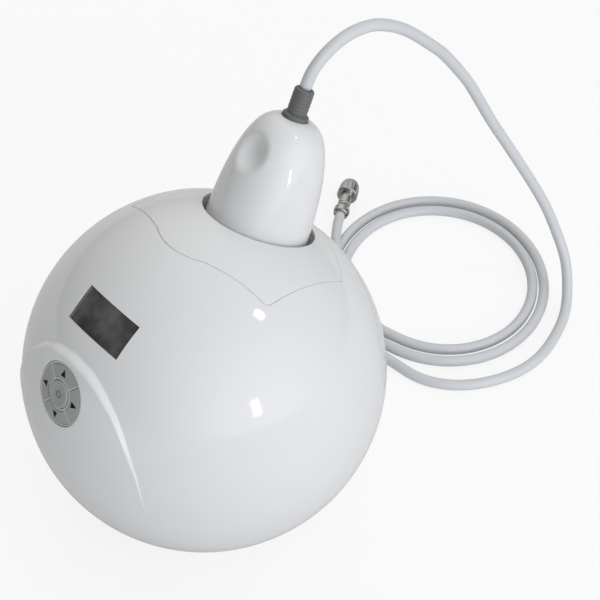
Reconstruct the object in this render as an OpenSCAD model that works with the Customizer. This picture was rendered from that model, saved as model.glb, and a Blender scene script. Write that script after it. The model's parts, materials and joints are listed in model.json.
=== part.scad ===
// Ball-shaped cavitation slimming machine with a bell-shaped ultrasonic handpiece.
// The handpiece stands in a socket in the top of the ball and lifts out along the socket's axis.
// Millimetres, +Z up. The origin is on the table, straight below the centre of the ball.
// The keypad faces -Y and the socket leans back, towards +Y.

/* [Ball] */
// Radius of the ball-shaped housing
ball_r = 105; // [103:0.5:108]
// Radius of the flat that the base closes
base_flat_r = 54; // [53:0.5:57]
// Wall of the main shell
shell_wall = 4.5; // [4.2:0.1:5]

/* [Raised front] */
// Radius of the two arcs of the arch that frames the keypad
arch_r = 60.4; // [59.4:0.2:61.4]
// How far the centre of each arc lies beyond the middle of the arch
arch_inset = 4; // [1:0.5:5]
// How far the raised front lies above the ball, measured up the front
front_rise = 5.5; // [4.5:0.1:6]
// How far the raised front lies before the ball
front_forward = 0.6; // [0.2:0.1:1]
// Angle by which the raised front is turned about the upright
front_turn = 2.1; // [0:0.1:4.5]

/* [Keypad] */
// Height of the keypad on the ball, as an angle above the middle
keypad_angle = 22.2; // [21:0.1:23]
// Outer radius of the keypad
keypad_r = 18; // [17.5:0.1:18.4]
// Width of the keypad's outer ring
keypad_ring = 1.2; // [1:0.1:1.5]
// Radius of the round power key
power_r = 7.8; // [7.4:0.1:8.2]
// Width of the ring round the power key
power_ring = 1.2; // [1:0.1:1.5]
// Width of the ribs between the arrow keys
rib_w = 1.2; // [1:0.1:2]
// How far the keypad is sunk in the raised front
keypad_sink = 1.2; // [0.8:0.1:1.4]
// How far the keys stand proud of the keypad's face
key_proud = 0.9; // [0.6:0.1:1.2]
// Travel of every key
key_travel = 1; // [0.6:0.1:1.2]

/* [Display] */
// Height of the display on the ball, as an angle above the middle
display_angle = 48.1; // [46:0.1:50]
// Angle by which display and top cover sit round from the keypad
upper_turn = 4.5; // [0:0.5:6]
// Width of the display window
window_w = 43; // [40:0.2:45]
// Height of the display window
window_h = 20.8; // [18:0.2:22]
// Angle by which the display is turned about its own middle
display_roll = -4; // [-6:0.5:0]
// Thickness of the display window
window_t = 2.4; // [2:0.1:2.6]
// How far the window lies below the ball
window_sink = 0.5; // [0.3:0.1:0.8]

/* [Socket] */
// Angle by which the socket leans back
socket_tilt = 24.5; // [22:0.1:27]
// Radius of the socket's mouth
socket_r = 33.2; // [32.6:0.1:34]
// Radius of the socket at its floor
socket_floor_r = 31.6; // [31.2:0.1:32.3]
// Height of the socket's floor along its axis, from the centre of the ball
socket_floor = 50; // [48:0.5:52]
// Wall of the socket cup
cup_wall = 2.4; // [2:0.1:2.8]

/* [Top cover] */
// How much larger the radius of the flatter crown round the socket is than the ball's
crown_extra = 8; // [5:0.5:12]
// Distance from the socket's axis at which the crown meets the ball
crown_edge = 57; // [54:0.5:60]
// Thickness of the top cover
cover_t = 2.2; // [1.8:0.1:2.4]
// Width of the seam round the top cover
seam = 0.5; // [0.3:0.1:0.8]
// Half width of the top cover at its front corners
cover_half_w = 57; // [54:0.5:59]
// Distance from the socket's axis to the front of the top cover
cover_front = 62.3; // [60:0.1:64]
// Distance from the socket's axis to the back of the top cover
cover_back = 45; // [43:0.5:48]

/* [Handpiece] */
// Radius of the handpiece shell at its lower edge
bell_low_r = 30.7; // [30:0.1:31]
// Radius of the handpiece shell where its dome starts
bell_dome_r = 30; // [29.4:0.1:30]
// Height along the axis where the dome starts
bell_dome_start = 90; // [88:0.5:94]
// Height along the axis of the top of the dome
bell_top = 160; // [158:0.5:162]
// Wall of the handpiece shell
bell_wall = 2.5; // [2.2:0.1:2.8]
// Radius of the ball that scoops the thumb rest
thumb_r = 15; // [13:0.5:17]
// Depth of the thumb rest
thumb_depth = 5; // [3:0.5:5.5]
// Height along the axis of the thumb rest
thumb_height = 140; // [136:0.5:143]
// Travel of the handpiece as it lifts out of the socket
lift_travel = 90; // [60:5:110]

/* [Strain relief and cord] */
// Diameter of the cord
cord_d = 7; // [6:0.1:7]
// Radius of the strain relief's sleeve
relief_r = 5.9; // [5.2:0.1:6.2]
// Radius of the strain relief's flange
relief_flange_r = 7.5; // [7:0.1:8.5]
// Length of the strain relief above the dome
relief_len = 18.6; // [16:0.2:24]
// Turns of the cord that lie coiled behind the ball
coil_turns = 2; // [1:1:3]

/* [Plug] */
// Radius of the plug's coupling ring
ring_r = 7.4; // [7.2:0.1:7.8]
// Radius of the coupling ring at its mouth
ring_mouth_r = 5.9; // [5.8:0.1:6.4]
// Length of the coupling ring
ring_len = 14; // [13:0.5:15]
// Radius of the plug's neck
neck_r = 4.5; // [4.3:0.1:4.6]
// Overall length of the plug
plug_len = 37; // [36:0.5:40]

/* [Base and rear] */
// Height of the rubber feet
foot_h = 3; // [2.5:0.1:5]
// Radius of the rubber feet
foot_r = 7; // [6:0.1:8]
// Thickness of the bottom plate
plate_t = 3; // [2.5:0.1:3.5]
// Width of the recessed rear panel
rear_w = 68; // [67:0.5:70]
// Height of the recessed rear panel
rear_h = 28; // [27.5:0.5:29]
// Distance from the centre of the ball down to the middle of the rear panel
rear_drop = 32; // [30:0.5:34]

/* [Transducer] */
// Radius of the metal head
head_r = 27.6; // [27:0.1:27.8]
// Radius of the ceramic rings and the two masses
mass_r = 19; // [17:0.5:20]
// Thickness of one ceramic ring
ring_t = 5; // [4:0.5:5.5]
// Length of the back mass
back_t = 20; // [16:0.5:22]

/* [Electronics] */
// Width of the transformer
core_w = 26; // [22:1:28]
// Depth of the transformer
core_d = 34; // [30:1:38]
// Height of the transformer
core_h = 28; // [24:1:32]
// Length of the heat sink
sink_l = 40; // [32:1:46]
// Height of the heat sink
sink_h = 30; // [24:1:34]
// Diameter of the capacitor
capacitor_d = 10; // [8:0.5:11]

/* [Fits] */
// Gap between fixed parts
fit_gap = 0.3; // [0.2:0.05:0.35]
// Gap round moving keys
key_gap = 0.3; // [0.2:0.05:0.4]
// Running clearance of pins and rings, on the radius
run_gap = 0.08; // [0.05:0.01:0.1]

/* [Hidden] */

// Smoothness of large and small round faces
big_fn = 128;
mid_fn = 64;
small_fn = 32;
// Length that reaches past any part of the ball
far = 2 * ball_r;

// Heights of the ball and its base
centre_h = foot_h + sqrt(pow(ball_r, 2) - pow(base_flat_r, 2));
plate_r = base_flat_r - 2.1;
base_ledge = 6;
base_screw_ring = plate_r - 2.9;
base_floor = foot_h + plate_t + 3;

// Keypad, measured along its normal from the centre of the ball
front_shift = [0, -front_forward, front_rise];
arch_lift = 1.2;
keypad_ball_r = ball_r - keypad_sink;
keypad_face = keypad_ball_r + front_forward * cos(keypad_angle) + front_rise * sin(keypad_angle);
bezel_floor = keypad_face - 3.7;
key_flange_t = 1.1;
key_floor = bezel_floor - fit_gap - key_flange_t;
key_board_t = 1.6;
tact_h = 3.5;
key_board_top = key_floor - key_travel - 0.1 - tact_h;
bezel_flange_r = keypad_r + 2.5;
bezel_skirt_t = 0.9;
key_in = power_r + key_gap + power_ring + key_gap;
key_out = keypad_r - keypad_ring - key_gap;
key_radius = (key_in + key_out) / 2;

// Display stack, measured along its normal
window_out = ball_r - window_sink;
window_ledge = 2;
panel_top = ball_r - shell_wall - 4.2;
display_board_t = 1.6;
display_screw_x = window_w / 2 + 0.8;
display_screw_y = window_h / 2 + 1.4;
display_board_w = 2 * display_screw_x + 5;
display_board_h = 2 * display_screw_y + 5;
panel_t = 4.6;
display_board_top = panel_top - panel_t;

// Crown round the socket: a larger sphere that meets the ball at crown_edge
crown_r = ball_r + crown_extra;
crown_centre = sqrt(pow(ball_r, 2) - pow(crown_edge, 2)) - sqrt(pow(crown_r, 2) - pow(crown_edge, 2));
// Height along the socket's axis, at distance r from it, of the surface grown by grow
function top_height(grow, r) = min(sqrt(pow(ball_r + grow, 2) - pow(r, 2)),
    crown_centre + sqrt(pow(crown_r + grow, 2) - pow(r, 2)));

// Socket cup and its flange, measured along the socket's axis
cup_outer = socket_r + cup_wall;
cup_top = top_height(-cover_t, cup_outer) - fit_gap;
cup_flange_r = cup_outer + 10.6;
cup_flange_t = 2.5;
cup_flange_top = top_height(-shell_wall, cup_flange_r) - fit_gap;
cup_boss_ring = cup_outer + 5.6;
cup_bolts = 3;
pad_t = 1.7;

// Rear panel, measured along +Y
rear_wall = 2;
rear_t = 2.5;
ear_t = 2;
ear_x = rear_w / 2 + 6;
ear_h = 9;
// The ears' corners lie just inside the shell
rear_face = rear_t - ear_t + floor(10 * sqrt(pow(ball_r - shell_wall, 2)
    - pow(ear_x + 3.5, 2) - pow(rear_drop + ear_h / 2, 2))) / 10 - 0.4;
inlet_x = 16 - rear_w / 2;
switch_x = 3;
receptacle_x = rear_w / 2 - 13;
receptacle_flange_t = 2;
receptacle_len = 9;
inlet_w = 20;
inlet_h = 12;
inlet_lip = 1.5;
inlet_depth = 10;
inlet_pin_pitch = 8.6;
switch_w = 10;
switch_h = 16;
rocker_r = 6.7;
rocker_w = 7.2;
rocker_gap = 0.4;
rocker_tilt = 8;

// Boards above the bottom plate
board_top = foot_h + plate_t + 8 + 1.6;
board_t = 1.6;
board_w = 70;
board_d = 54;
board_hole_x = board_w / 2 - 5;
board_hole_y = board_d / 2 - 5;
core_x = -15;
core_leg = core_d - 23;
core_window = 8;
core_yoke = 6;

// Handpiece, measured along the socket's axis from the centre of the ball
head_face = socket_floor + pad_t + fit_gap;
head_lip_t = 5;
neck_in = head_r - 3.6;
collar_in = bell_low_r - bell_wall - fit_gap - 2;
collar_low = head_face + head_lip_t + fit_gap;
collar_top = collar_low + 8.7;
bell_low = collar_top + 0.2;
mass_top = head_face + 22;
foil_t = 0.3;
piezo_count = 4;
piezo_step = ring_t + foil_t;
piezo_top = mass_top + piezo_count * piezo_step + foil_t;
bolt_r = 5;
bolt_end = piezo_top + back_t + 1.5;
relief_seat = bell_top - 2.5;
relief_flange_top = bell_top + 3.8;
relief_end = bell_top + relief_len;

// Cord. The points follow the cord's middle, and its ends are set by the parts that hold it.
cord_r = cord_d / 2;
lay_z = cord_r + 0.05;
axis_dir = [0, sin(socket_tilt), cos(socket_tilt)];
exit_point = [0, 0, centre_h] + relief_end * axis_dir;
run_start = [38, 257, lay_z];
run_dir = [0.42, -0.908, 0];
lead_points = concat(
    [exit_point, exit_point + 9 * axis_dir],
    [
        [1, 89, 274], [1, 104, 279], [1, 121, 278], [0, 136, 271], [-3, 149, 262],
        [-6, 162, 251], [-9, 174, 240], [-13, 186, 229], [-16, 197, 217], [-19, 208, 204],
        [-20, 218, 191], [-21, 231, 170], [-22, 244, 149], [-22, 257, 129], [-20, 269, 109],
        [-17, 281, 88], [-11, 290, 68], [-4, 295, 49], [6, 296, 31], [16, 290, 16], [27, 278, 7]
    ],
    [run_start - cord_d * run_dir, run_start]
);
coil_centre = [-57, 236];
coil_turn = 51.2;
coil_shift = 3.5;
coil_start_angle = -125;
coil_wide = 76.6;
coil_long = 95.5;
coil_step_wide = 7.8;
coil_step_long = 11.5;
coil_rings = 24;
// A point of the coil after u turns, which run clockwise and draw in steadily
function coil_local(u) = [
    coil_shift + (coil_wide - coil_step_wide * u) * cos(coil_start_angle - 360 * u),
    (coil_long - coil_step_long * u) * sin(coil_start_angle - 360 * u)
];
function coil_world(p) = [
    coil_centre[0] + p[0] * cos(coil_turn) - p[1] * sin(coil_turn),
    coil_centre[1] + p[0] * sin(coil_turn) + p[1] * cos(coil_turn),
    lay_z
];
function coil_point(u) = coil_world(coil_local(u));
function unit(v) = v / norm(v);
coil_in_dir = unit(coil_point(0.01) - coil_point(0));
coil_out_dir = unit(coil_point(coil_turns) - coil_point(coil_turns - 0.01));
coil_entry = coil_point(0) - cord_d * coil_in_dir;
coil_exit = coil_point(coil_turns) + cord_d * coil_out_dir;
coil_points = concat(
    [coil_entry],
    [for (i = [0 : coil_rings * coil_turns]) coil_point(i / coil_rings)],
    [coil_exit]
);
run_points = concat(
    [run_start, run_start + cord_d * run_dir],
    [
        [46, 236, lay_z], [48, 219, lay_z], [46, 203, lay_z], [41, 188, lay_z],
        [33, 175, lay_z], [22, 165, lay_z], [9, 159, lay_z]
    ],
    [coil_entry - cord_d * coil_in_dir, coil_entry]
);
plug_dir = [-0.622, 0.783, 0];
plug_end = [-151, 229, ring_r + 0.2];
tail_points = concat(
    [coil_exit, coil_exit + cord_d * coil_out_dir],
    [
        [-58, 173, 7], [-72, 177, 10.6], [-86, 181, 11.4], [-100, 187, 11.4],
        [-113, 195, 11.4], [-126, 204, 11], [-137, 214, 9.8]
    ],
    [plug_end - cord_d * plug_dir, plug_end]
);

// Plug, measured along its axis from the end where the cord goes in
clamp_len = 11;
ring_start = plug_len - ring_len;
ring_lip = 3;
ring_bore = 5.3;
barrel_r = 3.9;
insert_r = 3.2;
insert_face = 4.4;
pin_ring = 1.7;
pin_r = 0.5;
pin_len = 2.6;
receptacle_r = ring_bore - 0.1;
receptacle_floor = rear_face + receptacle_flange_t + 0.5;
receptacle_top = rear_face + receptacle_flange_t + insert_face - 0.2;

// The outline of the top cover, drawn square to the socket's axis, front towards -Y
kink_x = 21.5;
kink_y = -56;
corner_y = -40.5;
side_y = 19.6;
bulge_r = 36;
bulge_angle = asin((kink_x - 1.4) / bulge_r);

// Corner p of a polygon between a and b, rounded to radius r in n steps
function round_corner(a, p, b, r, n) =
    let (
        u = (a - p) / norm(a - p),
        v = (b - p) / norm(b - p),
        half = acos(u * v) / 2,
        back = r / tan(half),
        mid = (u + v) / norm(u + v),
        c = p + mid * r / sin(half),
        s = p + u * back,
        e = p + v * back,
        a0 = atan2(s[1] - c[1], s[0] - c[0]),
        a1 = atan2(e[1] - c[1], e[0] - c[0]),
        turn = a1 - a0 > 180 ? a1 - a0 - 360 : (a1 - a0 < -180 ? a1 - a0 + 360 : a1 - a0)
    )
    [for (i = [0 : n]) c + r * [cos(a0 + turn * i / n), sin(a0 + turn * i / n)]];

// Half of the cover's outline, from the middle of the front round to the middle of the back
cover_corner = [cover_half_w, corner_y];
cover_side = [cover_half_w - 2, side_y];
cover_kink = [kink_x, kink_y];
cover_back_kink = [kink_x, cover_back - 7];
cover_half = concat(
    [for (i = [0 : 6]) [bulge_r * sin(bulge_angle * i / 6),
        -cover_front + bulge_r * (1 - cos(bulge_angle * i / 6))]],
    [cover_kink],
    round_corner(cover_kink, cover_corner, cover_side, 5, 5),
    round_corner(cover_corner, cover_side, cover_back_kink, 3, 4),
    [cover_back_kink],
    [[kink_x - 8, cover_back - 1.4], [0, cover_back]]
);
cover_outline = concat(
    cover_half,
    [for (i = [len(cover_half) - 2 : -1 : 1]) [-cover_half[i][0], cover_half[i][1]]]
);

// Frames in which parts are drawn: z points out of the ball
module on_centre() {
    translate([0, 0, centre_h]) children();
}
module on_socket() {
    on_centre() rotate([-socket_tilt, 0, 0]) children();
}
module on_cover() {
    on_socket() rotate([0, 0, upper_turn]) children();
}
module on_front() {
    on_centre() rotate([0, 0, front_turn]) children();
}
module on_keypad() {
    on_front() rotate([90 - keypad_angle, 0, 0]) children();
}
module on_display() {
    on_centre() rotate([0, 0, upper_turn]) rotate([90 - display_angle, 0, 0])
        rotate([0, 0, display_roll]) children();
}
// On the rear panel x points to the ball's -X side and y points up
module on_rear() {
    translate([0, 0, centre_h - rear_drop]) rotate([90, 0, 180]) children();
}
module on_plug() {
    translate(plug_end) rotate([0, 0, atan2(plug_dir[1], plug_dir[0])]) rotate([0, 90, 0])
        children();
}

// A plain ring
module ring(r_out, r_in, low, high, fn = mid_fn) {
    difference() {
        translate([0, 0, low]) cylinder(r = r_out, h = high - low, $fn = fn);
        translate([0, 0, low - 1]) cylinder(r = r_in, h = high - low + 2, $fn = fn);
    }
}

// A block centred on x and y, from one height to another
module block(w, d, low, high) {
    translate([-w / 2, -d / 2, low]) cube([w, d, high - low]);
}

// A pan-head screw that points down: its head's underside lies at height 0
module screw(r, len, head_r, head_t) {
    translate([0, 0, -len]) cylinder(r = r, h = len + 0.01, $fn = small_fn);
    difference() {
        cylinder(r = head_r, h = head_t, $fn = small_fn);
        for (a = [0, 90]) rotate([0, 0, a])
            block(head_r * 1.1, head_r * 0.28, head_t * 0.5, head_t + 1);
    }
}

// The ball grown by grow, flattened round the socket
module round_form(grow) {
    intersection() {
        on_centre() sphere(r = ball_r + grow, $fn = big_fn);
        on_socket() translate([0, 0, crown_centre]) sphere(r = crown_r + grow, $fn = big_fn);
    }
}

// The same with its raised front. Grown inwards it is the cavity's outer form.
module ball_form(grow) {
    union() {
        round_form(grow);
        on_front() intersection() {
            arch_prism(grow);
            translate(front_shift) sphere(r = ball_r + grow, $fn = big_fn);
        }
    }
}

// The arch, as a block that reaches forward from inside the ball: two arcs above straight sides
module arch_prism(grow) {
    half = arch_r + grow - arch_inset;
    rotate([90, 0, 0]) translate([0, arch_lift, ball_r * 0.6]) union() {
        intersection() {
            translate([-arch_inset, 0, 0]) cylinder(r = arch_r + grow, h = far, $fn = big_fn);
            translate([arch_inset, 0, 0]) cylinder(r = arch_r + grow, h = far, $fn = big_fn);
        }
        translate([-half, -ball_r * 0.75, 0]) cube([2 * half, ball_r * 0.75, far]);
    }
}

// The room inside the ball: it ends in a flat ledge above the bottom plate
module cavity() {
    difference() {
        ball_form(-shell_wall);
        translate([-far, -far, base_floor - 2 * far]) cube(2 * far);
    }
}

// The cover's outline as a block, grown outwards by grow
module cover_prism(grow, low) {
    k = 1 + grow / cover_half_w;
    translate([0, 0, low]) linear_extrude(height = far) polygon(cover_outline * k);
}

module cover_pegs(r, below, above) {
    for (p = [[46, -28], [-46, -28], [49, 11], [-49, 11]]) {
        low = top_height(-shell_wall, norm(p)) - below;
        high = top_height(-0.05, norm(p) + r) + above;
        translate([p[0], p[1], low]) cylinder(r = r, h = high - low, $fn = small_fn);
    }
}

module cup_boss_places() {
    for (i = [0 : cup_bolts - 1]) rotate([0, 0, 90 + i * 360 / cup_bolts])
        translate([cup_boss_ring, 0, 0]) children();
}

module display_screw_places() {
    for (x = [-1, 1], y = [-1, 1])
        translate([x * display_screw_x, y * display_screw_y, 0]) children();
}

module rear_screw_places() {
    for (x = [-1, 1]) translate([x * ear_x, 0, 0]) children();
}

// Bosses inside the shell, cut to the cavity's surface by the shell's own middle
module shell_bosses() {
    intersection() {
        union() {
            on_socket() cup_boss_places()
                translate([0, 0, cup_flange_top + fit_gap]) cylinder(r = 3.6, h = 20, $fn = small_fn);
            on_display() display_screw_places()
                translate([0, 0, display_board_top]) cylinder(r = 2.2, h = 15, $fn = small_fn);
            on_rear() rear_screw_places()
                translate([0, 0, rear_face - rear_t + ear_t]) cylinder(r = 3.4, h = 20, $fn = small_fn);
        }
        round_form(0.6 - shell_wall);
    }
}

module main_shell() {
    color("white") difference() {
        union() {
            difference() {
                ball_form(0);
                cavity();
            }
            shell_bosses();
        }
        // Flat base, rebate for the bottom plate and the way through its ledge
        translate([-far, -far, foot_h - 2 * far]) cube(2 * far);
        cylinder(r = plate_r + fit_gap, h = foot_h + plate_t, $fn = big_fn);
        cylinder(r = plate_r - base_ledge, h = base_floor + 1, $fn = big_fn);
        base_screw_places() translate([0, 0, foot_h])
            cylinder(r = 1.3, h = base_floor - foot_h + 1, $fn = small_fn);
        // Rebate for the top cover, with the socket's hole and the cover's pegs
        difference() {
            on_cover() cover_prism(seam / 2, 20);
            round_form(-cover_t - 0.15);
        }
        on_socket() cylinder(r = cup_outer + 0.8, h = far, $fn = big_fn);
        on_cover() cover_pegs(2 + 0.15, 20, 5);
        on_socket() cup_boss_places() cylinder(r = 1.3, h = cup_flange_top + 3.6, $fn = small_fn);
        // Display: rebate for the window and the opening behind it
        difference() {
            on_display() block(window_w + 0.6, window_h + 0.6, 40, far);
            on_centre() sphere(r = window_out - window_t - 0.1, $fn = big_fn);
        }
        on_display() block(window_w - 2 * window_ledge, window_h - 2 * window_ledge, 40, far);
        on_display() display_screw_places()
            translate([0, 0, 40]) cylinder(r = 0.9, h = display_board_top - 40 + 3, $fn = small_fn);
        // Keypad
        on_keypad() translate([0, 0, 40]) cylinder(r = keypad_r + fit_gap, h = far, $fn = mid_fn);
        // Rear panel
        on_rear() block(rear_w, rear_h, 40, far);
        on_rear() rear_screw_places()
            translate([0, 0, 40]) cylinder(r = 1.3, h = rear_face - 40 + 2.4, $fn = small_fn);
    }
}

module top_cover() {
    color("white") union() {
        difference() {
            intersection() {
                round_form(0);
                on_cover() cover_prism(-seam / 2, 20);
            }
            round_form(-cover_t);
            on_socket() cylinder(r = socket_r, h = far, $fn = big_fn);
        }
        on_cover() cover_pegs(2, 1.5, 0);
    }
}

module socket_cup() {
    color("gainsboro") on_socket() difference() {
        rotate_extrude($fn = big_fn) polygon([
            [0, socket_floor - 3], [socket_floor_r + cup_wall, socket_floor - 3],
            [cup_outer - 0.2, cup_flange_top - cup_flange_t],
            [cup_flange_r, cup_flange_top - cup_flange_t], [cup_flange_r, cup_flange_top],
            [cup_outer, cup_flange_top], [cup_outer, cup_top], [socket_r, cup_top],
            [socket_floor_r, socket_floor + 2], [socket_floor_r - 2, socket_floor], [0, socket_floor]
        ]);
        cup_boss_places() cylinder(r = 1.7, h = far, $fn = small_fn);
    }
}

module socket_screws() {
    color("silver") on_socket() cup_boss_places()
        translate([0, 0, cup_flange_top - cup_flange_t]) rotate([180, 0, 0])
            screw(1.25, 5.8, 2.8, 1.8);
}

module rest_pad() {
    color("dimgray") on_socket()
        translate([0, 0, socket_floor]) cylinder(r = socket_floor_r - 3, h = pad_t, $fn = big_fn);
}

module base_screw_places() {
    for (a = [45 : 90 : 315]) rotate([0, 0, a]) translate([base_screw_ring, 0, 0]) children();
}

module foot_places() {
    for (a = [0 : 90 : 270]) rotate([0, 0, a])
        translate([plate_r - foot_r - 4, 0, 0]) children();
}

module board_places() {
    for (x = [-1, 1], y = [-1, 1]) translate([x * board_hole_x, y * board_hole_y, 0]) children();
}

module bottom_plate() {
    color("whitesmoke") difference() {
        union() {
            translate([0, 0, foot_h]) cylinder(r = plate_r, h = plate_t, $fn = big_fn);
            board_places() translate([0, 0, foot_h + plate_t - 1])
                cylinder(r = 3.2, h = board_top - board_t - foot_h - plate_t + 1, $fn = small_fn);
        }
        foot_places() translate([0, 0, foot_h - 1]) cylinder(r = foot_r + 0.1, h = 2, $fn = mid_fn);
        base_screw_places() {
            translate([0, 0, foot_h - 1]) cylinder(r = 1.8, h = plate_t + 2, $fn = small_fn);
            translate([0, 0, foot_h - 1]) cylinder(r = 3.1, h = 2.4, $fn = small_fn);
        }
        board_places() translate([0, 0, foot_h + plate_t]) cylinder(r = 1.05, h = 20, $fn = small_fn);
        // Cooling slots between the feet
        for (a = [0, 180]) rotate([0, 0, a]) for (x = [-2 : 2])
            translate([x * 5, 0, 0]) block_slot(2, 8, 13, foot_h - 1, foot_h + plate_t + 1);
    }
}

// A slot with round ends that runs along y
module block_slot(w, y0, y1, low, high) {
    translate([-w / 2, y0, low]) cube([w, y1 - y0, high - low]);
    for (y = [y0, y1]) translate([0, y, low]) cylinder(r = w / 2, h = high - low, $fn = small_fn);
}

module rubber_feet() {
    color("dimgray") foot_places() rotate_extrude($fn = mid_fn) polygon([
        [0, 0], [foot_r - 0.8, 0], [foot_r, 0.8], [foot_r, foot_h + 1], [0, foot_h + 1]
    ]);
}

module base_screws() {
    color("silver") base_screw_places() translate([0, 0, foot_h + 1.4]) rotate([180, 0, 0])
        screw(1.25, 6, 2.8, 1.3);
}

module display_window() {
    color("dimgray") difference() {
        intersection() {
            on_display() block(window_w, window_h, 40, far);
            on_centre() sphere(r = window_out, $fn = big_fn);
        }
        on_centre() sphere(r = window_out - window_t, $fn = big_fn);
    }
}

module display_panel() {
    color("darkslategray") on_display() union() {
        block(window_w - 5, window_h - 4.6, panel_top - panel_t, panel_top);
        block(window_w - 9, window_h - 8, panel_top - 0.5, panel_top + 0.6);
    }
}

module display_board() {
    color("darkgreen") on_display() difference() {
        block(display_board_w, display_board_h, display_board_top - display_board_t,
            display_board_top);
        display_screw_places() cylinder(r = 1.3, h = far, $fn = small_fn);
    }
}

module display_screws() {
    color("silver") on_display() display_screw_places()
        translate([0, 0, display_board_top - display_board_t]) rotate([180, 0, 0])
            screw(0.85, 4.2, 2, 1.2);
}

// The keypad's frame, with a flange that seats against the inside of the shell
module keypad_bezel() {
    color("lightgray") union() {
        on_keypad() difference() {
            union() {
                intersection() {
                    translate([0, 0, bezel_floor])
                        cylinder(r = keypad_r, h = far, $fn = mid_fn);
                    rotate([keypad_angle - 90, 0, 0]) translate(front_shift)
                        sphere(r = keypad_ball_r + key_proud / 2, $fn = 2 * big_fn);
                }
                ring(keypad_r, keypad_r - bezel_skirt_t, key_board_top, bezel_floor + 0.5);
            }
            for (i = [0 : 3]) rotate([0, 0, 90 * i]) key_window();
            translate([0, 0, bezel_floor - 1])
                cylinder(r = power_r + key_gap, h = far, $fn = mid_fn);
        }
        intersection() {
            on_keypad()
                ring(bezel_flange_r, keypad_r - bezel_skirt_t, key_board_top, keypad_face);
            ball_form(-shell_wall - 0.2);
        }
    }
}

// The window of one arrow key in the bezel
module key_window() {
    intersection() {
        ring(key_out + key_gap, key_in - key_gap, bezel_floor - 1, ball_r + 10);
        key_quadrant(rib_w / 2, bezel_floor - 2);
    }
}

// A quarter of the keypad round +Y, its sides moved inwards by side
module key_quadrant(side, low) {
    translate([0, side * sqrt(2), low]) rotate([0, 0, 45]) cube([far, far, far]);
}

// One arrow key: a cap that follows the raised front, on a flange that keeps it in
module arrow_key(turn) {
    intersection() {
        on_keypad() union() {
            rotate([0, 0, turn]) intersection() {
                ring(key_out, key_in, key_floor, ball_r + 10);
                key_quadrant(rib_w / 2 + key_gap, key_floor - 1);
            }
            rotate([0, 0, turn]) intersection() {
                ring(key_out + key_gap + 0.1, key_in, key_floor, key_floor + key_flange_t);
                key_quadrant(rib_w / 2 - 0.1, key_floor - 1);
            }
        }
        on_front() translate(front_shift)
            sphere(r = keypad_ball_r + key_proud, $fn = 2 * big_fn);
    }
}

module key_up() {
    color("gray") arrow_key(0);
}
module key_left() {
    color("gray") arrow_key(90);
}
module key_down() {
    color("gray") arrow_key(180);
}
module key_right() {
    color("gray") arrow_key(270);
}

module power_key() {
    color("gray") on_keypad() union() {
        rotate_extrude($fn = mid_fn) polygon([
            [0, key_floor], [power_r + key_gap + 0.5, key_floor],
            [power_r + key_gap + 0.5, key_floor + key_flange_t],
            [power_r, key_floor + key_flange_t],
            [power_r, keypad_face + 0.3], [power_r - 0.8, keypad_face + 1.1],
            [power_r - 2, keypad_face + 1.1], [power_r - 3.2, keypad_face + 0.6],
            [0, keypad_face + 0.5]
        ]);
    }
}

module tact_places() {
    children();
    for (i = [0 : 3]) rotate([0, 0, 90 * i]) translate([0, key_radius, 0]) children();
}

module key_board() {
    color("darkgreen") on_keypad()
        translate([0, 0, key_board_top - key_board_t])
            cylinder(r = keypad_r - 0.5, h = key_board_t, $fn = mid_fn);
}

module tact_switches() {
    color("black") on_keypad() tact_places() {
        block(5.8, 5.8, key_board_top, key_board_top + tact_h - 1);
        translate([0, 0, key_board_top + tact_h - 1.1]) cylinder(r = 1.6, h = 1.1, $fn = small_fn);
    }
}

module rear_panel() {
    color("whitesmoke") difference() {
        union() {
            on_rear() block(rear_w - 2 * fit_gap, rear_h - 2 * fit_gap, rear_face - rear_t, rear_face);
            on_rear() block(2 * ear_x + 7, ear_h, rear_face - rear_t, rear_face - rear_t + ear_t);
            intersection() {
                on_rear() difference() {
                    block(rear_w - 2 * fit_gap, rear_h - 2 * fit_gap, rear_face - rear_t, far);
                    block(rear_w - 2 * fit_gap - 2 * rear_wall, rear_h - 2 * fit_gap - 2 * rear_wall,
                        rear_face - 1, far + 1);
                }
                on_centre() sphere(r = ball_r - 0.2, $fn = big_fn);
            }
        }
        on_rear() {
            translate([inlet_x, 0, 0]) block(inlet_w + 0.6, inlet_h + 0.6, 40, rear_face + 1);
            translate([switch_x, 0, 0]) block(switch_w + 0.6, switch_h + 0.6, 40, rear_face + 1);
            translate([receptacle_x, 0, 40]) cylinder(r = receptacle_r + 0.1, h = 60, $fn = mid_fn);
            rear_screw_places() translate([0, 0, 40]) cylinder(r = 1.7, h = 60, $fn = small_fn);
        }
    }
}

module rear_screws() {
    color("silver") on_rear() rear_screw_places()
        translate([0, 0, rear_face - rear_t]) rotate([180, 0, 0]) screw(1.25, 4, 2.8, 1.8);
}

// Two-pole mains inlet: a lip on the panel, a body behind it and a cavity shaped like an 8
module mains_inlet() {
    cavity_r = 4.1;
    pole_x = 3.3;
    color("dimgray") on_rear() translate([inlet_x, 0, 0]) difference() {
        union() {
            block(inlet_w + 3, inlet_h + 3, rear_face, rear_face + inlet_lip);
            block(inlet_w, inlet_h, rear_face - 20, rear_face + 0.5);
        }
        for (x = [-pole_x, pole_x]) translate([x, 0, rear_face + inlet_lip - inlet_depth])
            cylinder(r = cavity_r, h = inlet_depth + 1, $fn = mid_fn);
        block(2 * pole_x, 2 * cavity_r - 0.3, rear_face + inlet_lip - inlet_depth, rear_face + 5);
    }
}

module inlet_pins() {
    color("gold") on_rear() translate([inlet_x, 0, 0]) for (x = [-0.5, 0.5])
        translate([x * inlet_pin_pitch, 0, rear_face + inlet_lip - inlet_depth]) {
            cylinder(r = 1.15, h = inlet_depth - 1.5, $fn = small_fn);
        }
}

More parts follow.
